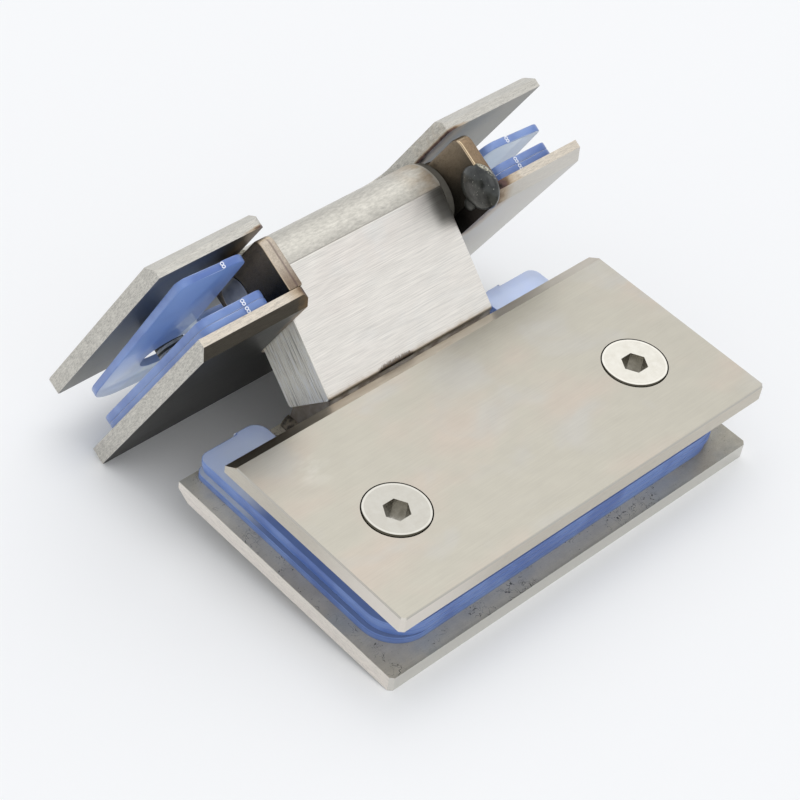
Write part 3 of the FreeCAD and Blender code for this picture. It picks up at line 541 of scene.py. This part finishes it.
def inner_plate_finish():
    """Dull inner plate with a pitted and scratched mill face, painted shade on that face's open ends, and sawn
    sides.
    """
    tint = colours()
    inner = Finish("fixed_inner_plate", *FIXED_CLAMP)
    flat = inner.facing(FIXED_UP)
    upright = abs(flat).falling(0.2, 0.4)
    face, grain = brushed(inner, "mill", 0.1)
    under = brushed(inner, "plate")[0]

    pits = inner.noise(0.5, 4.0, roughness=0.7).rising(0.66, 0.7)
    scratches = inner.noise(2.0, 2.0, warp=1.2).near(0.5, 0.004, 0.01)
    marks = either(pits, scratches * inner.noise(6.0, 2.0).rising(0.5, 0.58))
    rough = inner.noise(0.3, 4.0)
    scuff = inner.noise(1.6, 4.0) - 0.5
    # Painted shade on the open ends of the mill face
    painted_shade_ends = either(inner.x.rising(22.0, 42.0), inner.y.falling(-1.0, 1.0))
    face = inner.shade(face, 0.8 + rough * 0.2 + scuff * 0.2 - painted_shade_ends * 0.42)
    face = inner.mix(marks * 0.9, face, tint.soot)
    tone = inner.mix(flat.rising(-0.6, 0.4), under, face)

    side, groove = sawn(inner, tint.inner_side, (10, 10, 1), 0.2, 0.2)
    long_edges = abs(inner.facing(FIXED_BACK)).rising(0.5, 0.8)
    tone = inner.mix(upright, tone, inner.mix(long_edges, side, tint.inner_front))
    inner.set(Base_Color=tone, Roughness=0.42 + grain * 0.1,
              Metallic=1 - flat.rising(0.6, 0.9) * 0.5)
    inner.relief((rough * 0.4 - marks) * (1 - upright) + groove * upright * 0.4, 0.04, 0.5)
    return inner


def swing_plate_finish(node, front):
    """Brushed plate with a dull inside darkened as painted shade between the plates, sawn edges, heat tint round
    the ears' welds, and on the front plate's face painted dark and bright reflections.
    """
    tint = colours()
    plate = Finish(node, *SWINGING_CLAMP, Metallic=1.0)
    out = plate.facing(SWING_FRONT if front else -SWING_FRONT)
    outer, grain = brushed(plate, "plate")
    # Dull inner faces, darkened as painted shade between the plates
    inside = brushed(plate, "inside", 0.16)[0]
    tone = plate.mix(out.rising(-0.6, 0.4), inside, outer)

    hinge_edge = plate.facing(SWING_HINGE).rising(0.3, 0.5)
    edge, lines = sawn(plate, tint.front_edge if front else tint.sawn, (9, 1, 1), 0.4, 0.3)
    tone = plate.mix(hinge_edge, tone, edge)
    ends = abs(plate.facing(ACROSS)).rising(0.6, 0.8)
    end, groove = sawn(plate, tint.sawn, (1, 6, 1), 0.5, 0.4)
    tone = plate.mix(ends, tone, end)

    weld = from_point(abs(plate.x), plate.y, EAR_FACE, nearest_on(plate.y, *EAR_WELD))
    if front:
        # Painted light on the front plate's face: a dark reflection to the left, a bright one to the right
        face = out.rising(0.6, 0.9)
        tone = plate.mix(face * plate.x.falling(*SHADED_STRETCH) * 0.93, tone, tint.front_dark)
        tone = plate.mix(face * plate.x.rising(*PAINTED_REFLECTION_STRETCH) * 0.8, tone, tint.front_painted_reflection)
        weld += out.rising(0.5, 0.9) * 2.6 + 2.3 - plate.x.rising(0.0, 1.0) * 3.3
    else:
        weld += 7.0 - abs(plate.z + SWING_INNER).falling(0.2, 0.9) * 5.2
    tone = heated(plate, tone, weld)

    seats = screw_seats(plate, SWING_SCREW) * abs(out).falling(0.95, 0.99)
    plate.set(Base_Color=plate.mix(seats, tone, tint.soot), Roughness=0.36 + grain * 0.08 + ends * 0.1)
    plate.relief(grain * 0.3 + either(groove * ends, lines * hinge_edge) * 0.8, 0.03, 0.5)
    return plate


def barrel_colour(block):
    """Matte barrel with a painted highlight where it bends to the front and along its end rims; returns colour and
    mottle.
    """
    tint = colours()
    mottle = block.noise(0.45, 4.0, (2.4, 1, 1), 0.65)
    cloud = block.noise(2.0, 3.0, (2, 1, 1))
    # Painted highlight where the barrel bends to the front
    painted_bend_highlight = block.facing(BLOCK_FRONT).rising(0.1, 0.85)
    tone = block.shade(tint.barrel, 1.08 + painted_bend_highlight * 0.5 + (mottle - 0.5) + (cloud - 0.5) * 0.25)
    warm_end = block.x.rising(12.0, BLOCK_HALF) * cloud.rising(0.3, 0.6)
    tone = block.mix(warm_end * 0.5, tone, tint.straw)
    # Painted highlight along the rims of the barrel's ends
    rim = abs(block.x).rising(BLOCK_HALF - 0.5, BLOCK_HALF - 0.3)
    return block.mix(rim * 0.8, tone, tint.bright), mottle


def smoked(block, tone):
    """Brown haze along the foot of the block and a crust of soot over its weld."""
    tint = colours()
    haze = (block.z + (block.noise(1.3, 4.0) - 0.5) * 1.6).falling(BLOCK_FOOT + 0.3, BLOCK_FOOT + 1.5)
    tone = block.mix(haze * 0.55, tone, tint.smoke)
    crust = block.noise(0.35, 5.0, roughness=0.7)
    burn = block.x.near(BURN_MIDDLE, 2.5, 4.5) * block.z.falling(BLOCK_FOOT + 0.2, BLOCK_FOOT + 2.6)
    burn = (burn * 1.1 + crust - 1.05).rising(0.0, 0.35)
    return block.mix(burn * 0.8, tone, block.mix(crust.rising(0.4, 0.6), tint.soot, tint.heat))


def block_finish():
    """Brushed block with its matte barrel, sawn sides, sooty foot and painted shade beside the right ear."""
    tint = colours()
    block = Finish("hinge_block", *BLOCK, Metallic=1.0)
    sides = abs(block.facing(ACROSS)).rising(0.7, 0.9)
    turned = block.z.rising(BARREL_LINE, BARREL_LINE + 0.12)
    face, grain = brushed(block, "block", 0.34)
    barrel, mottle = barrel_colour(block)
    tone = block.mix(turned, face, barrel)

    seam = block.z.near(BARREL_LINE, 0.04, 0.1) * (1 - sides)
    tone = block.mix(seam * 0.6, tone, tint.barrel_seam)
    # Painted shade, a dark reflection of the right ear, on the face beside it
    shaded = block.x.rising(*EAR_SHADE) * block.z.near(-1.2, 2.2, 3.2) * (1 - turned)
    tone = smoked(block, block.mix(shaded * 0.7, tone, tint.block_shadow))

    side, groove = sawn(block, tint.block_side, (1, 1, 14), 0.5, 0.3)
    scores = block.noise(0.45, 3.0, (1, 1, 40))
    scored = scores.rising(0.5, 0.62) * block.noise(2.5, 3.0, (1, 1, 4)).rising(0.35, 0.6)
    tone = block.mix(sides, tone, block.mix(scored * 0.6, side, tint.block_score))
    block.set(Base_Color=tone, Roughness=0.3 + grain * 0.1 + turned * 0.16 + sides * 0.15)
    block.relief(grain * (1 - either(turned, sides)) * 0.4 + groove * sides * 1.5
                 + mottle * turned * 0.8 - seam * 2.0 - scores * sides, 0.05, 0.6)
    return block


def foot_finish():
    """Wedge under the block, smutted and darker at its left end."""
    tint = colours()
    foot = Finish("block_foot", *FIXED_CLAMP, Metallic=0.2)
    smut = foot.noise(2.5, 4.0)
    brown = foot.mix(smut.rising(0.35, 0.65), tint.foot_brown, tint.foot)
    foot.set(Base_Color=foot.mix(foot.x.rising(-21.0, -18.0), tint.foot_left, brown),
             Roughness=0.42 + smut * 0.3)
    foot.relief(smut, 0.1, 0.6)
    return foot


def mottled(name, size, first, second, roughness, spread, **constants):
    """A plain finish of two soft colours, for the parts that hardly show."""
    finish = Finish(name, *BLOCK, **constants)
    cloud = finish.noise(size, 3.0)
    finish.set(Base_Color=finish.mix(cloud, first, second), Roughness=roughness + cloud * spread)
    return finish


def screw_finish(clamp, side):
    """Polished countersunk screw with painted light and shade on its socket walls and glints on its floor, a dark
    crescent of painted shadow at its edge, a fine ring of painted highlight inside it, and the left heads painted
    darker as shade.
    """
    tint = colours()
    place, top, inset, level = SCREWS[clamp]
    across = -SCREW_ACROSS if side == "left" else SCREW_ACROSS
    screw = Finish(f"{clamp}_screw_{side}", *place, Metallic=1.0)
    radius = from_point(screw.x, screw.y, across, inset)
    depth = abs(screw.z - level)
    haze = screw.noise(1.2, 3.0)
    # Painted shade: the left heads darker than the right ones
    tone = screw.shade(screw.mix(haze, tint.screw, tint.screw_haze), 0.8 if side == "left" else 1.06)

    socket = radius.falling(SOCKET_RADIUS - 0.1, SOCKET_RADIUS + 0.1)
    walls = abs(screw.facing(top)).falling(0.3, 0.6) * socket
    # Painted light and shade on the socket walls, paler where they face back
    light = screw.noise(0.1, 2.0, (30, 1, 1)) * 0.5 + screw.facing(FIXED_BACK).rising(-0.9, 0.9) * 0.5
    tone = screw.mix(walls, tone, screw.mix(light, tint.socket_dark, tint.socket_pale))
    bottom = socket * (1 - walls) * depth.rising(1.0, 1.5)
    tone = screw.mix(bottom, tone, screw.mix(haze, tint.socket_floor, tint.socket_glint))

    # Painted shadow: a dark crescent at the head's edge, wider on one side
    toward = ((screw.x - across) * -0.8 + (screw.y - inset) * -0.6).rising(0.0, 6.0)
    rim = radius + toward * 0.5 - HEAD_RADIUS
    tone = screw.mix(rim.rising(0.0, 0.08) * depth.falling(0.4, 0.6), tone, tint.screw_edge_shadow)
    # Painted highlight: a fine bright ring inside that edge
    ring = rim.near(-0.2, 0.1, 0.15) * depth.falling(0.2, 0.3)
    screw.set(Base_Color=screw.mix(ring * 0.22, tone, tint.screw_rim_highlight), Roughness=0.18 + haze * 0.12)
    thread = screw.z.folded(THREAD_PITCH / 2) * depth.rising(HEAD_DEPTH - 0.1, HEAD_DEPTH + 0.1)
    screw.relief(thread, THREAD_PITCH / 2)
    return screw


def ear_finish(side):
    """Heat tinted ear with a paler hinge end, flanks burnt and darkened by painted shade, a painted highlight on
    its rounding and, on the right ear, one along the inner edge.
    """
    tint = colours()
    ear = Finish(f"ear_{side}", *SWINGING_CLAMP, Metallic=0.9)
    hinge = ear.facing(SWING_HINGE)
    crust = ear.noise(0.3, 5.0, (1, 2, 1), 0.7).rising(0.3, 0.7)
    # The flanks darken towards the front plate: painted shade there, with a burnt tint
    flank = ear.mix(ear.z.rising(-6.0, 4.0), tint.ear_flank, tint.ear_flank_shade_and_burn)
    flank = ear.shade(flank, 0.55 + ear.noise(2.0, 4.0) * 0.5 + crust * 0.35)
    end = ear.shade(getattr(tint, f"ear_{side}"), 0.8 + crust * 0.4)
    end = ear.mix(ear.z.rising(0.0, 5.5) * 0.7, end, tint.heat)
    if side == "left":
        groove = abs(ear.x).near((EAR_FACE + EAR_END) / 2 - 0.3, 0.05, 0.25)
        end = ear.mix(groove * 0.5, end, tint.plum)
    else:
        # Painted highlight along the inner edge of the right ear's end
        highlight_line = ear.x.near(EAR_FACE + 0.4, 0.02, 0.14)
        end = ear.mix(highlight_line * 0.9, end, tint.ear_edge_highlight)
    tone = ear.mix(hinge.rising(0.35, 0.75), flank, end)
    # Painted highlight on the rounding
    tone = ear.mix(hinge.near(0.7, 0.06, 0.12) * 0.6, tone, tint.ear_round)
    ear.set(Base_Color=tone, Roughness=0.34 + crust * 0.2)
    ear.relief(crust, 0.05, 0.6)
    return ear


def weld_finish():
    """Burnt, glossy weld with flecks and a straw shine on top."""
    tint = colours()
    weld = Finish("burnt_weld", Metallic=0.3, Coat_Weight=0.5, Coat_Roughness=0.12)
    crust = weld.noise(1.6, 3.0)
    fleck = weld.noise(0.4, 3.0)
    tone = weld.mix(crust.rising(0.35, 0.7), tint.weld, tint.weld_grey)
    top = weld.facing(Vector((0.1, -0.1, 0.98))).rising(0.8, 0.97)
    tone = weld.mix(top * fleck.rising(0.4, 0.55) * 0.85, tone, tint.weld_shine)
    tone = weld.mix(fleck.rising(0.66, 0.74), tone, tint.weld_fleck)
    weld.set(Base_Color=tone, Roughness=0.2 + crust * 0.2)
    weld.relief(crust * 0.6 + fleck * 0.2, 0.08, 0.3)
    return weld


def foot_weld_finish():
    """Dull, scorched weld at the foot of the block."""
    tint = colours()
    weld = Finish("foot_weld", *FIXED_CLAMP, Metallic=0.5)
    scorch = weld.noise(0.9, 4.0)
    weld.set(Base_Color=weld.mix(scorch.rising(0.35, 0.65), tint.foot_weld, tint.foot_weld_pale),
             Roughness=0.45 + scorch * 0.2)
    weld.relief(scorch, 0.08, 0.5)
    return weld


def gasket_face(sheet, node, edge, cloud):
    """Colour of a gasket's flat side, where it shows."""
    tint = colours()
    if node == "fixed_gasket_middle":
        return edge
    if node == "swing_gasket_loose":
        blue_end = sheet.mix(sheet.y.rising(-36.0, -10.0), tint.loose_pale, tint.loose_blue)
        # Painted see-through tone: past the line where the stack behind ends, the sheet turns paler and clearer
        crossing = sheet.x - STACK_CORNER[0] - (sheet.y - STACK_CORNER[1]) * STACK_LEAN
        return sheet.mix(crossing.rising(-0.1, 0.1) * 0.9, blue_end, tint.loose_clear)
    face = sheet.mix(cloud.rising(0.4, 0.7) * 0.4, tint.gasket_face, tint.gasket_rim)
    if node.startswith("swing"):
        return face
    # Painted shade: the fixed gaskets' face darker to the left, and in the gasket shade colour under the cover
    # plate
    face = sheet.shade(face, 0.84 + sheet.x.rising(0.0, 20.0) * 0.5)
    return sheet.mix(sheet.y.rising(36.0, 43.0), tint.gasket_shade, face)


def gasket_finish(node, place, normal):
    """Soft clear sheet: blue seen edge on, nearly clear seen flat, with a painted highlight on its rounded rim and
    a weak painted glow of its own colour.
    """
    tint = colours()
    loose = node == "swing_gasket_loose"
    sheet = Finish(node, *place, Transmission_Weight=0.2, IOR=1.45, Coat_Weight=0.3,
                   Emission_Strength=1.0)
    cloud = sheet.noise(9.0, 3.0)
    facing = abs(sheet.facing(normal))
    flat = facing.rising(0.93, 0.985)
    # Painted highlight along the rounded rim
    rim = facing.rising(0.3, 0.5) * facing.falling(0.8, 0.95)
    edge = sheet.mix(cloud.rising(0.35, 0.65), tint.gasket_edge, tint.gasket_edge_pale)
    if not loose:
        seam = sheet.z.folded(GASKET_THICKNESS / 2).falling(0.0, 0.12)
        edge = sheet.mix(seam * 0.5, edge, tint.gasket_seam)
    tone = sheet.mix(flat, edge, gasket_face(sheet, node, edge, cloud))
    tone = sheet.mix(rim * 0.6, tone, tint.gasket_rim)
    cleared = (0.32 if loose else 0.44) - cloud * 0.1
    sheet.set(Base_Color=tone, Roughness=0.28 + cloud * 0.12, Alpha=0.94 - cleared * flat,
              # A weak painted glow of the sheet's own colour, brighter where it is seen flat
              Emission_Color=sheet.shade(tone, 0.07 + flat * 0.13))
    return sheet


def number_finish():
    """Raised number, worn off in places."""
    tint = colours()
    number = Finish("gasket_number")
    worn = number.noise(0.4, 2.0)
    number.set(Base_Color=number.mix(worn.rising(0.5, 0.8), tint.number, tint.gasket_rim),
               Roughness=0.5 + worn * 0.1)
    return number


def dress(finish, *nodes):
    """Gives CAD nodes a finish, in every material slot."""
    for node in nodes:
        materials = NODES[node].data.materials
        if not materials:
            materials.append(finish.material)
        for index in range(len(materials)):
            materials[index] = finish.material


def wear(piece, finish):
    piece.data.materials.clear()
    piece.data.materials.append(finish.material)


def select_only(piece):
    bpy.ops.object.select_all(action="DESELECT")
    piece.select_set(True)
    bpy.context.view_layer.objects.active = piece


def rounded_copy(node, radius, segments):
    """A merged copy of a CAD solid with its flat faces whole and its edges rounded."""
    piece = bpy.data.objects.new(node + "_rounded", NODES[node].data.copy())
    bpy.context.scene.collection.objects.link(piece)
    select_only(piece)
    bpy.ops.object.mode_set(mode="EDIT")
    bpy.ops.mesh.select_all(action="SELECT")
    bpy.ops.mesh.remove_doubles(threshold=MERGE_WITHIN * MM)
    bpy.ops.mesh.customdata_custom_splitnormals_clear()
    bpy.ops.mesh.dissolve_limited(angle_limit=math.radians(1))
    bpy.ops.object.mode_set(mode="OBJECT")
    rounding = piece.modifiers.new("rounding", "BEVEL")
    rounding.width = radius
    rounding.segments = segments
    rounding.limit_method = "ANGLE"
    rounding.angle_limit = math.radians(50)
    bpy.ops.object.modifier_apply(modifier="rounding")
    bpy.ops.object.shade_smooth_by_angle(angle=math.radians(35))
    return piece


def settle(piece, spot, *axes):
    """Moves a new piece to a spot, with its X, Y and Z along three axes, and applies its place."""
    piece.matrix_world = Matrix.Translation(spot) @ Matrix(axes).transposed().to_4x4()
    bpy.context.view_layer.update()
    select_only(piece)
    bpy.ops.object.transform_apply(location=True, rotation=True, scale=True)


def weld_bead(name, lumps, size, place):
    """A lumpy bead on the right ear, given by its half sizes and its place from the pin axis."""
    bpy.ops.mesh.primitive_ico_sphere_add(subdivisions=5, radius=1)
    bead = bpy.context.object
    bead.name = name
    swell = bead.modifiers.new("swell", "DISPLACE")
    swell.texture = lumps
    swell.strength = LUMP_HEIGHT
    swell.mid_level = 0.6
    bpy.ops.object.modifier_apply(modifier="swell")
    bpy.ops.object.shade_smooth()
    axes = (ACROSS, SWING_HINGE, SWING_FRONT)
    spot = PIVOT + sum((axis * part for axis, part in zip(axes, place)), Vector())
    settle(bead, spot, *(axis * part for axis, part in zip(axes, size)))
    return bead


def number_spot(node, back, sign):
    """Middle of a tab's hinge-side edge, at the gasket's own lean and twist."""
    size = details()
    corners = [vertex.co for vertex in NODES[node].data.vertices]
    tab = [co for co in corners if abs(co.x * sign - size.number_place) < size.tab_reach]
    reach = max(co.dot(back) for co in tab)
    edge = [co for co in tab if co.dot(back) > reach - size.edge_depth]
    spot = sum(edge, Vector()) / len(edge)
    return spot + back * (reach - spot.dot(back))


def raised_number(name, spot, normal, back):
    """A generic number that stands out of a gasket's edge."""
    size = details()
    bpy.ops.object.select_all(action="DESELECT")
    bpy.ops.object.text_add()
    text = bpy.context.object
    text.name = name
    text.data.body = "8"
    text.data.align_x = "CENTER"
    text.data.align_y = "CENTER"
    text.data.size = size.number_height / FIGURE_HEIGHT
    text.data.extrude = size.number_relief
    text.data.resolution_u = 3
    bpy.ops.object.convert(target="MESH")
    up = normal.normalized()
    out = back.normalized()
    settle(text, spot, up.cross(out), up, out)
    return text


def seen_rays(tree):
    """1 for the rays that show the background: to the camera, off metal and through clear sheet."""
    paths = add_node(tree, "ShaderNodeLightPath").outputs
    rays = Field(tree, paths["Is Camera Ray"]) + paths["Is Glossy Ray"] + paths["Is Transmission Ray"]
    return rays.clamped()


def floor_finish(stage):
    """Matte floor that turns into a plain backdrop away from the hinge."""
    finish = Finish("floor", Base_Color=stage.floor, Roughness=0.9, Specular_IOR_Level=0.2)
    away = either(abs(finish.x) - PLATE_HALF, abs(finish.y) - PLATE_HALF).rising(-4.0, 12.0)
    backdrop = finish.node("ShaderNodeEmission", {"Color": stage.backdrop})
    finish.blend(seen_rays(finish.tree) * away * stage.backdrop_share, backdrop)
    return finish


class HINGE_OT_fixed_plates(bpy.types.Operator):
    """Brushed cover plate and dull inner plate of the fixed clamp"""

    bl_idname = "hinge.fixed_plates"
    bl_label = "Finish the fixed plates"

    def execute(self, context):
        dress(cover_plate_finish(), "fixed_outer_plate")
        dress(inner_plate_finish(), "fixed_inner_plate")
        return {"FINISHED"}


class HINGE_OT_swing_plates(bpy.types.Operator):
    """Brushed plates of the swinging clamp with heat tint round the welds"""

    bl_idname = "hinge.swing_plates"
    bl_label = "Finish the swinging plates"

    def execute(self, context):
        dress(swing_plate_finish("swing_front_plate", True), "swing_front_plate")
        dress(swing_plate_finish("swing_back_plate", False), "swing_back_plate")
        return {"FINISHED"}


class HINGE_OT_block(bpy.types.Operator):
    """Block, its foot and the parts inside it"""

    bl_idname = "hinge.block"
    bl_label = "Finish the block"

    def execute(self, context):
        tint = colours()
        dress(block_finish(), "hinge_block")
        dress(foot_finish(), "block_foot")
        dress(mottled("inner_steel", 1.5, tint.hidden, tint.hidden_pale, 0.25, 0.2, Metallic=1.0),
              "spring_cover", "spring_left", "spring_right", "follower", "pivot_pin")
        dress(mottled("bearing_plastic", 0.8, tint.bearing, tint.bearing_worn, 0.45, 0.1),
              "bush_left", "bush_right")
        dress(mottled("washer_plastic", 1.2, tint.washer, tint.washer_pale, 0.5, 0.1),
              "washer_left", "washer_right")
        return {"FINISHED"}


class HINGE_OT_screws(bpy.types.Operator):
    """Polished countersunk screws"""

    bl_idname = "hinge.screws"
    bl_label = "Finish the screws"

    def execute(self, context):
        for clamp in SCREWS:
            for side in ("left", "right"):
                dress(screw_finish(clamp, side), f"{clamp}_screw_{side}")
        return {"FINISHED"}


class HINGE_OT_ears(bpy.types.Operator):
    """Rounded, heat tinted ears of the swinging clamp"""

    bl_idname = "hinge.ears"
    bl_label = "Model the ears"

    def execute(self, context):
        for side in ("left", "right"):
            node = f"ear_{side}"
            piece = rounded_copy(node, details().ear_round, 3)
            wear(piece, ear_finish(side))
            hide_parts(node)
            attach(piece, "swinging_clamp")
        return {"FINISHED"}


class HINGE_OT_welds(bpy.types.Operator):
    """Scorched welds at the foot and the glossy bead on the right ear"""

    bl_idname = "hinge.welds"
    bl_label = "Model the welds"

    def execute(self, context):
        size = details()
        weld = weld_finish()
        lumps = bpy.data.textures.new("weld_lumps", "CLOUDS")
        lumps.noise_scale = LUMP_SIZE
        for name, half_sizes, place in (("weld_drop", size.bead_size, size.bead_place),
                                        ("weld_splash", size.splash_size, size.splash_place)):
            drop = weld_bead(name, lumps, half_sizes, place)
            wear(drop, weld)
            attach(drop, "swinging_clamp")
            if name == "weld_drop":
                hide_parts("weld_bead")
        dress(foot_weld_finish(), "foot_weld_left", "foot_weld_right")
        return {"FINISHED"}


class HINGE_OT_gaskets(bpy.types.Operator):
    """Soft clear gaskets with rounded edges and their raised numbers"""

    bl_idname = "hinge.gaskets"
    bl_label = "Model the gaskets"

    def execute(self, context):
        ink = number_finish()
        for body, (nodes, place, normal, back) in GASKETS.items():
            for node in nodes:
                piece = rounded_copy(node, details().gasket_round, 2)
                wear(piece, gasket_finish(node, place, normal))
                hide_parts(node)
                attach(piece, body)
                for side, sign in (("left", -1), ("right", 1)):
                    spot = number_spot(node, back, sign)
                    text = raised_number(f"{node}_number_{side}", spot, normal, back)
                    wear(text, ink)
                    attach(text, body)
        return {"FINISHED"}


class HINGE_OT_stage(bpy.types.Operator):
    """Floor, even sky, soft lamps and the camera"""

    bl_idname = "hinge.stage"
    bl_label = "Set the stage"

    def execute(self, context):
        stage = context.scene.hinge_stage
        self.add_floor(stage)
        self.add_sky(context.scene, stage)
        self.add_lamp(context.scene, stage, "key_lamp", stage.key, stage.key_place)
        self.add_lamp(context.scene, stage, "fill_lamp", stage.fill, stage.fill_place)
        self.add_camera(context.scene, stage)
        context.scene.view_settings.view_transform = "Standard"
        return {"FINISHED"}

    def add_floor(self, stage):
        bpy.ops.object.select_all(action="DESELECT")
        bpy.ops.mesh.primitive_plane_add(size=stage.floor_size)
        floor = bpy.context.object
        floor.name = "floor"
        wear(floor, floor_finish(stage))

    def add_sky(self, scene, stage):
        scene.world = bpy.data.worlds.new("even_sky")
        scene.world.use_nodes = True
        tree = scene.world.node_tree
        background = tree.nodes["Background"]
        strength = seen_rays(tree) * (1 - stage.sky_strength) + stage.sky_strength
        feed(tree, background.inputs["Strength"], strength)
        feed(tree, background.inputs["Color"], stage.sky)

    def add_lamp(self, scene, stage, name, power, place):
        light = bpy.data.lights.new(name, "AREA")
        light.energy = power
        light.size = stage.lamp_size
        lamp = bpy.data.objects.new(name, light)
        lamp.location = place
        toward = Vector(stage.lamp_aim) - lamp.location
        lamp.rotation_euler = toward.to_track_quat("-Z", "Y").to_euler()
        scene.collection.objects.link(lamp)

    def add_camera(self, scene, stage):
        lens = bpy.data.cameras.new("camera")
        lens.lens = stage.lens
        camera = bpy.data.objects.new("camera", lens)
        camera.location = stage.camera_place
        camera.rotation_euler = Euler(stage.camera_turn)
        scene.collection.objects.link(camera)
        scene.camera = camera


class HINGE_PT_panel(bpy.types.Panel):
    """Lists the steps in the order in which they are used"""

    bl_idname = "HINGE_PT_panel"
    bl_label = "Glass door hinge"
    bl_space_type = "VIEW_3D"
    bl_region_type = "UI"
    bl_category = "Hinge"

    def draw(self, context):
        for operator in OPERATORS:
            self.layout.operator(operator.bl_idname)


OPERATORS = (HINGE_OT_fixed_plates, HINGE_OT_swing_plates, HINGE_OT_block, HINGE_OT_screws,
             HINGE_OT_ears, HINGE_OT_welds, HINGE_OT_gaskets, HINGE_OT_stage)
GROUPS = {"hinge_finishes": HingeFinishes, "hinge_details": HingeDetails, "hinge_stage": HingeStage}


def register():
    for item in (*GROUPS.values(), *OPERATORS, HINGE_PT_panel):
        bpy.utils.register_class(item)
    for name, group in GROUPS.items():
        setattr(bpy.types.Scene, name, PointerProperty(type=group))


def unregister():
    for name in GROUPS:
        delattr(bpy.types.Scene, name)
    for item in reversed((*GROUPS.values(), *OPERATORS, HINGE_PT_panel)):
        bpy.utils.unregister_class(item)


def main():
    register()
    for operator in OPERATORS:
        group, name = operator.bl_idname.split(".")
        getattr(getattr(bpy.ops, group), name)()
    bpy.context.view_layer.update()


if __name__ == "__main__":
    main()
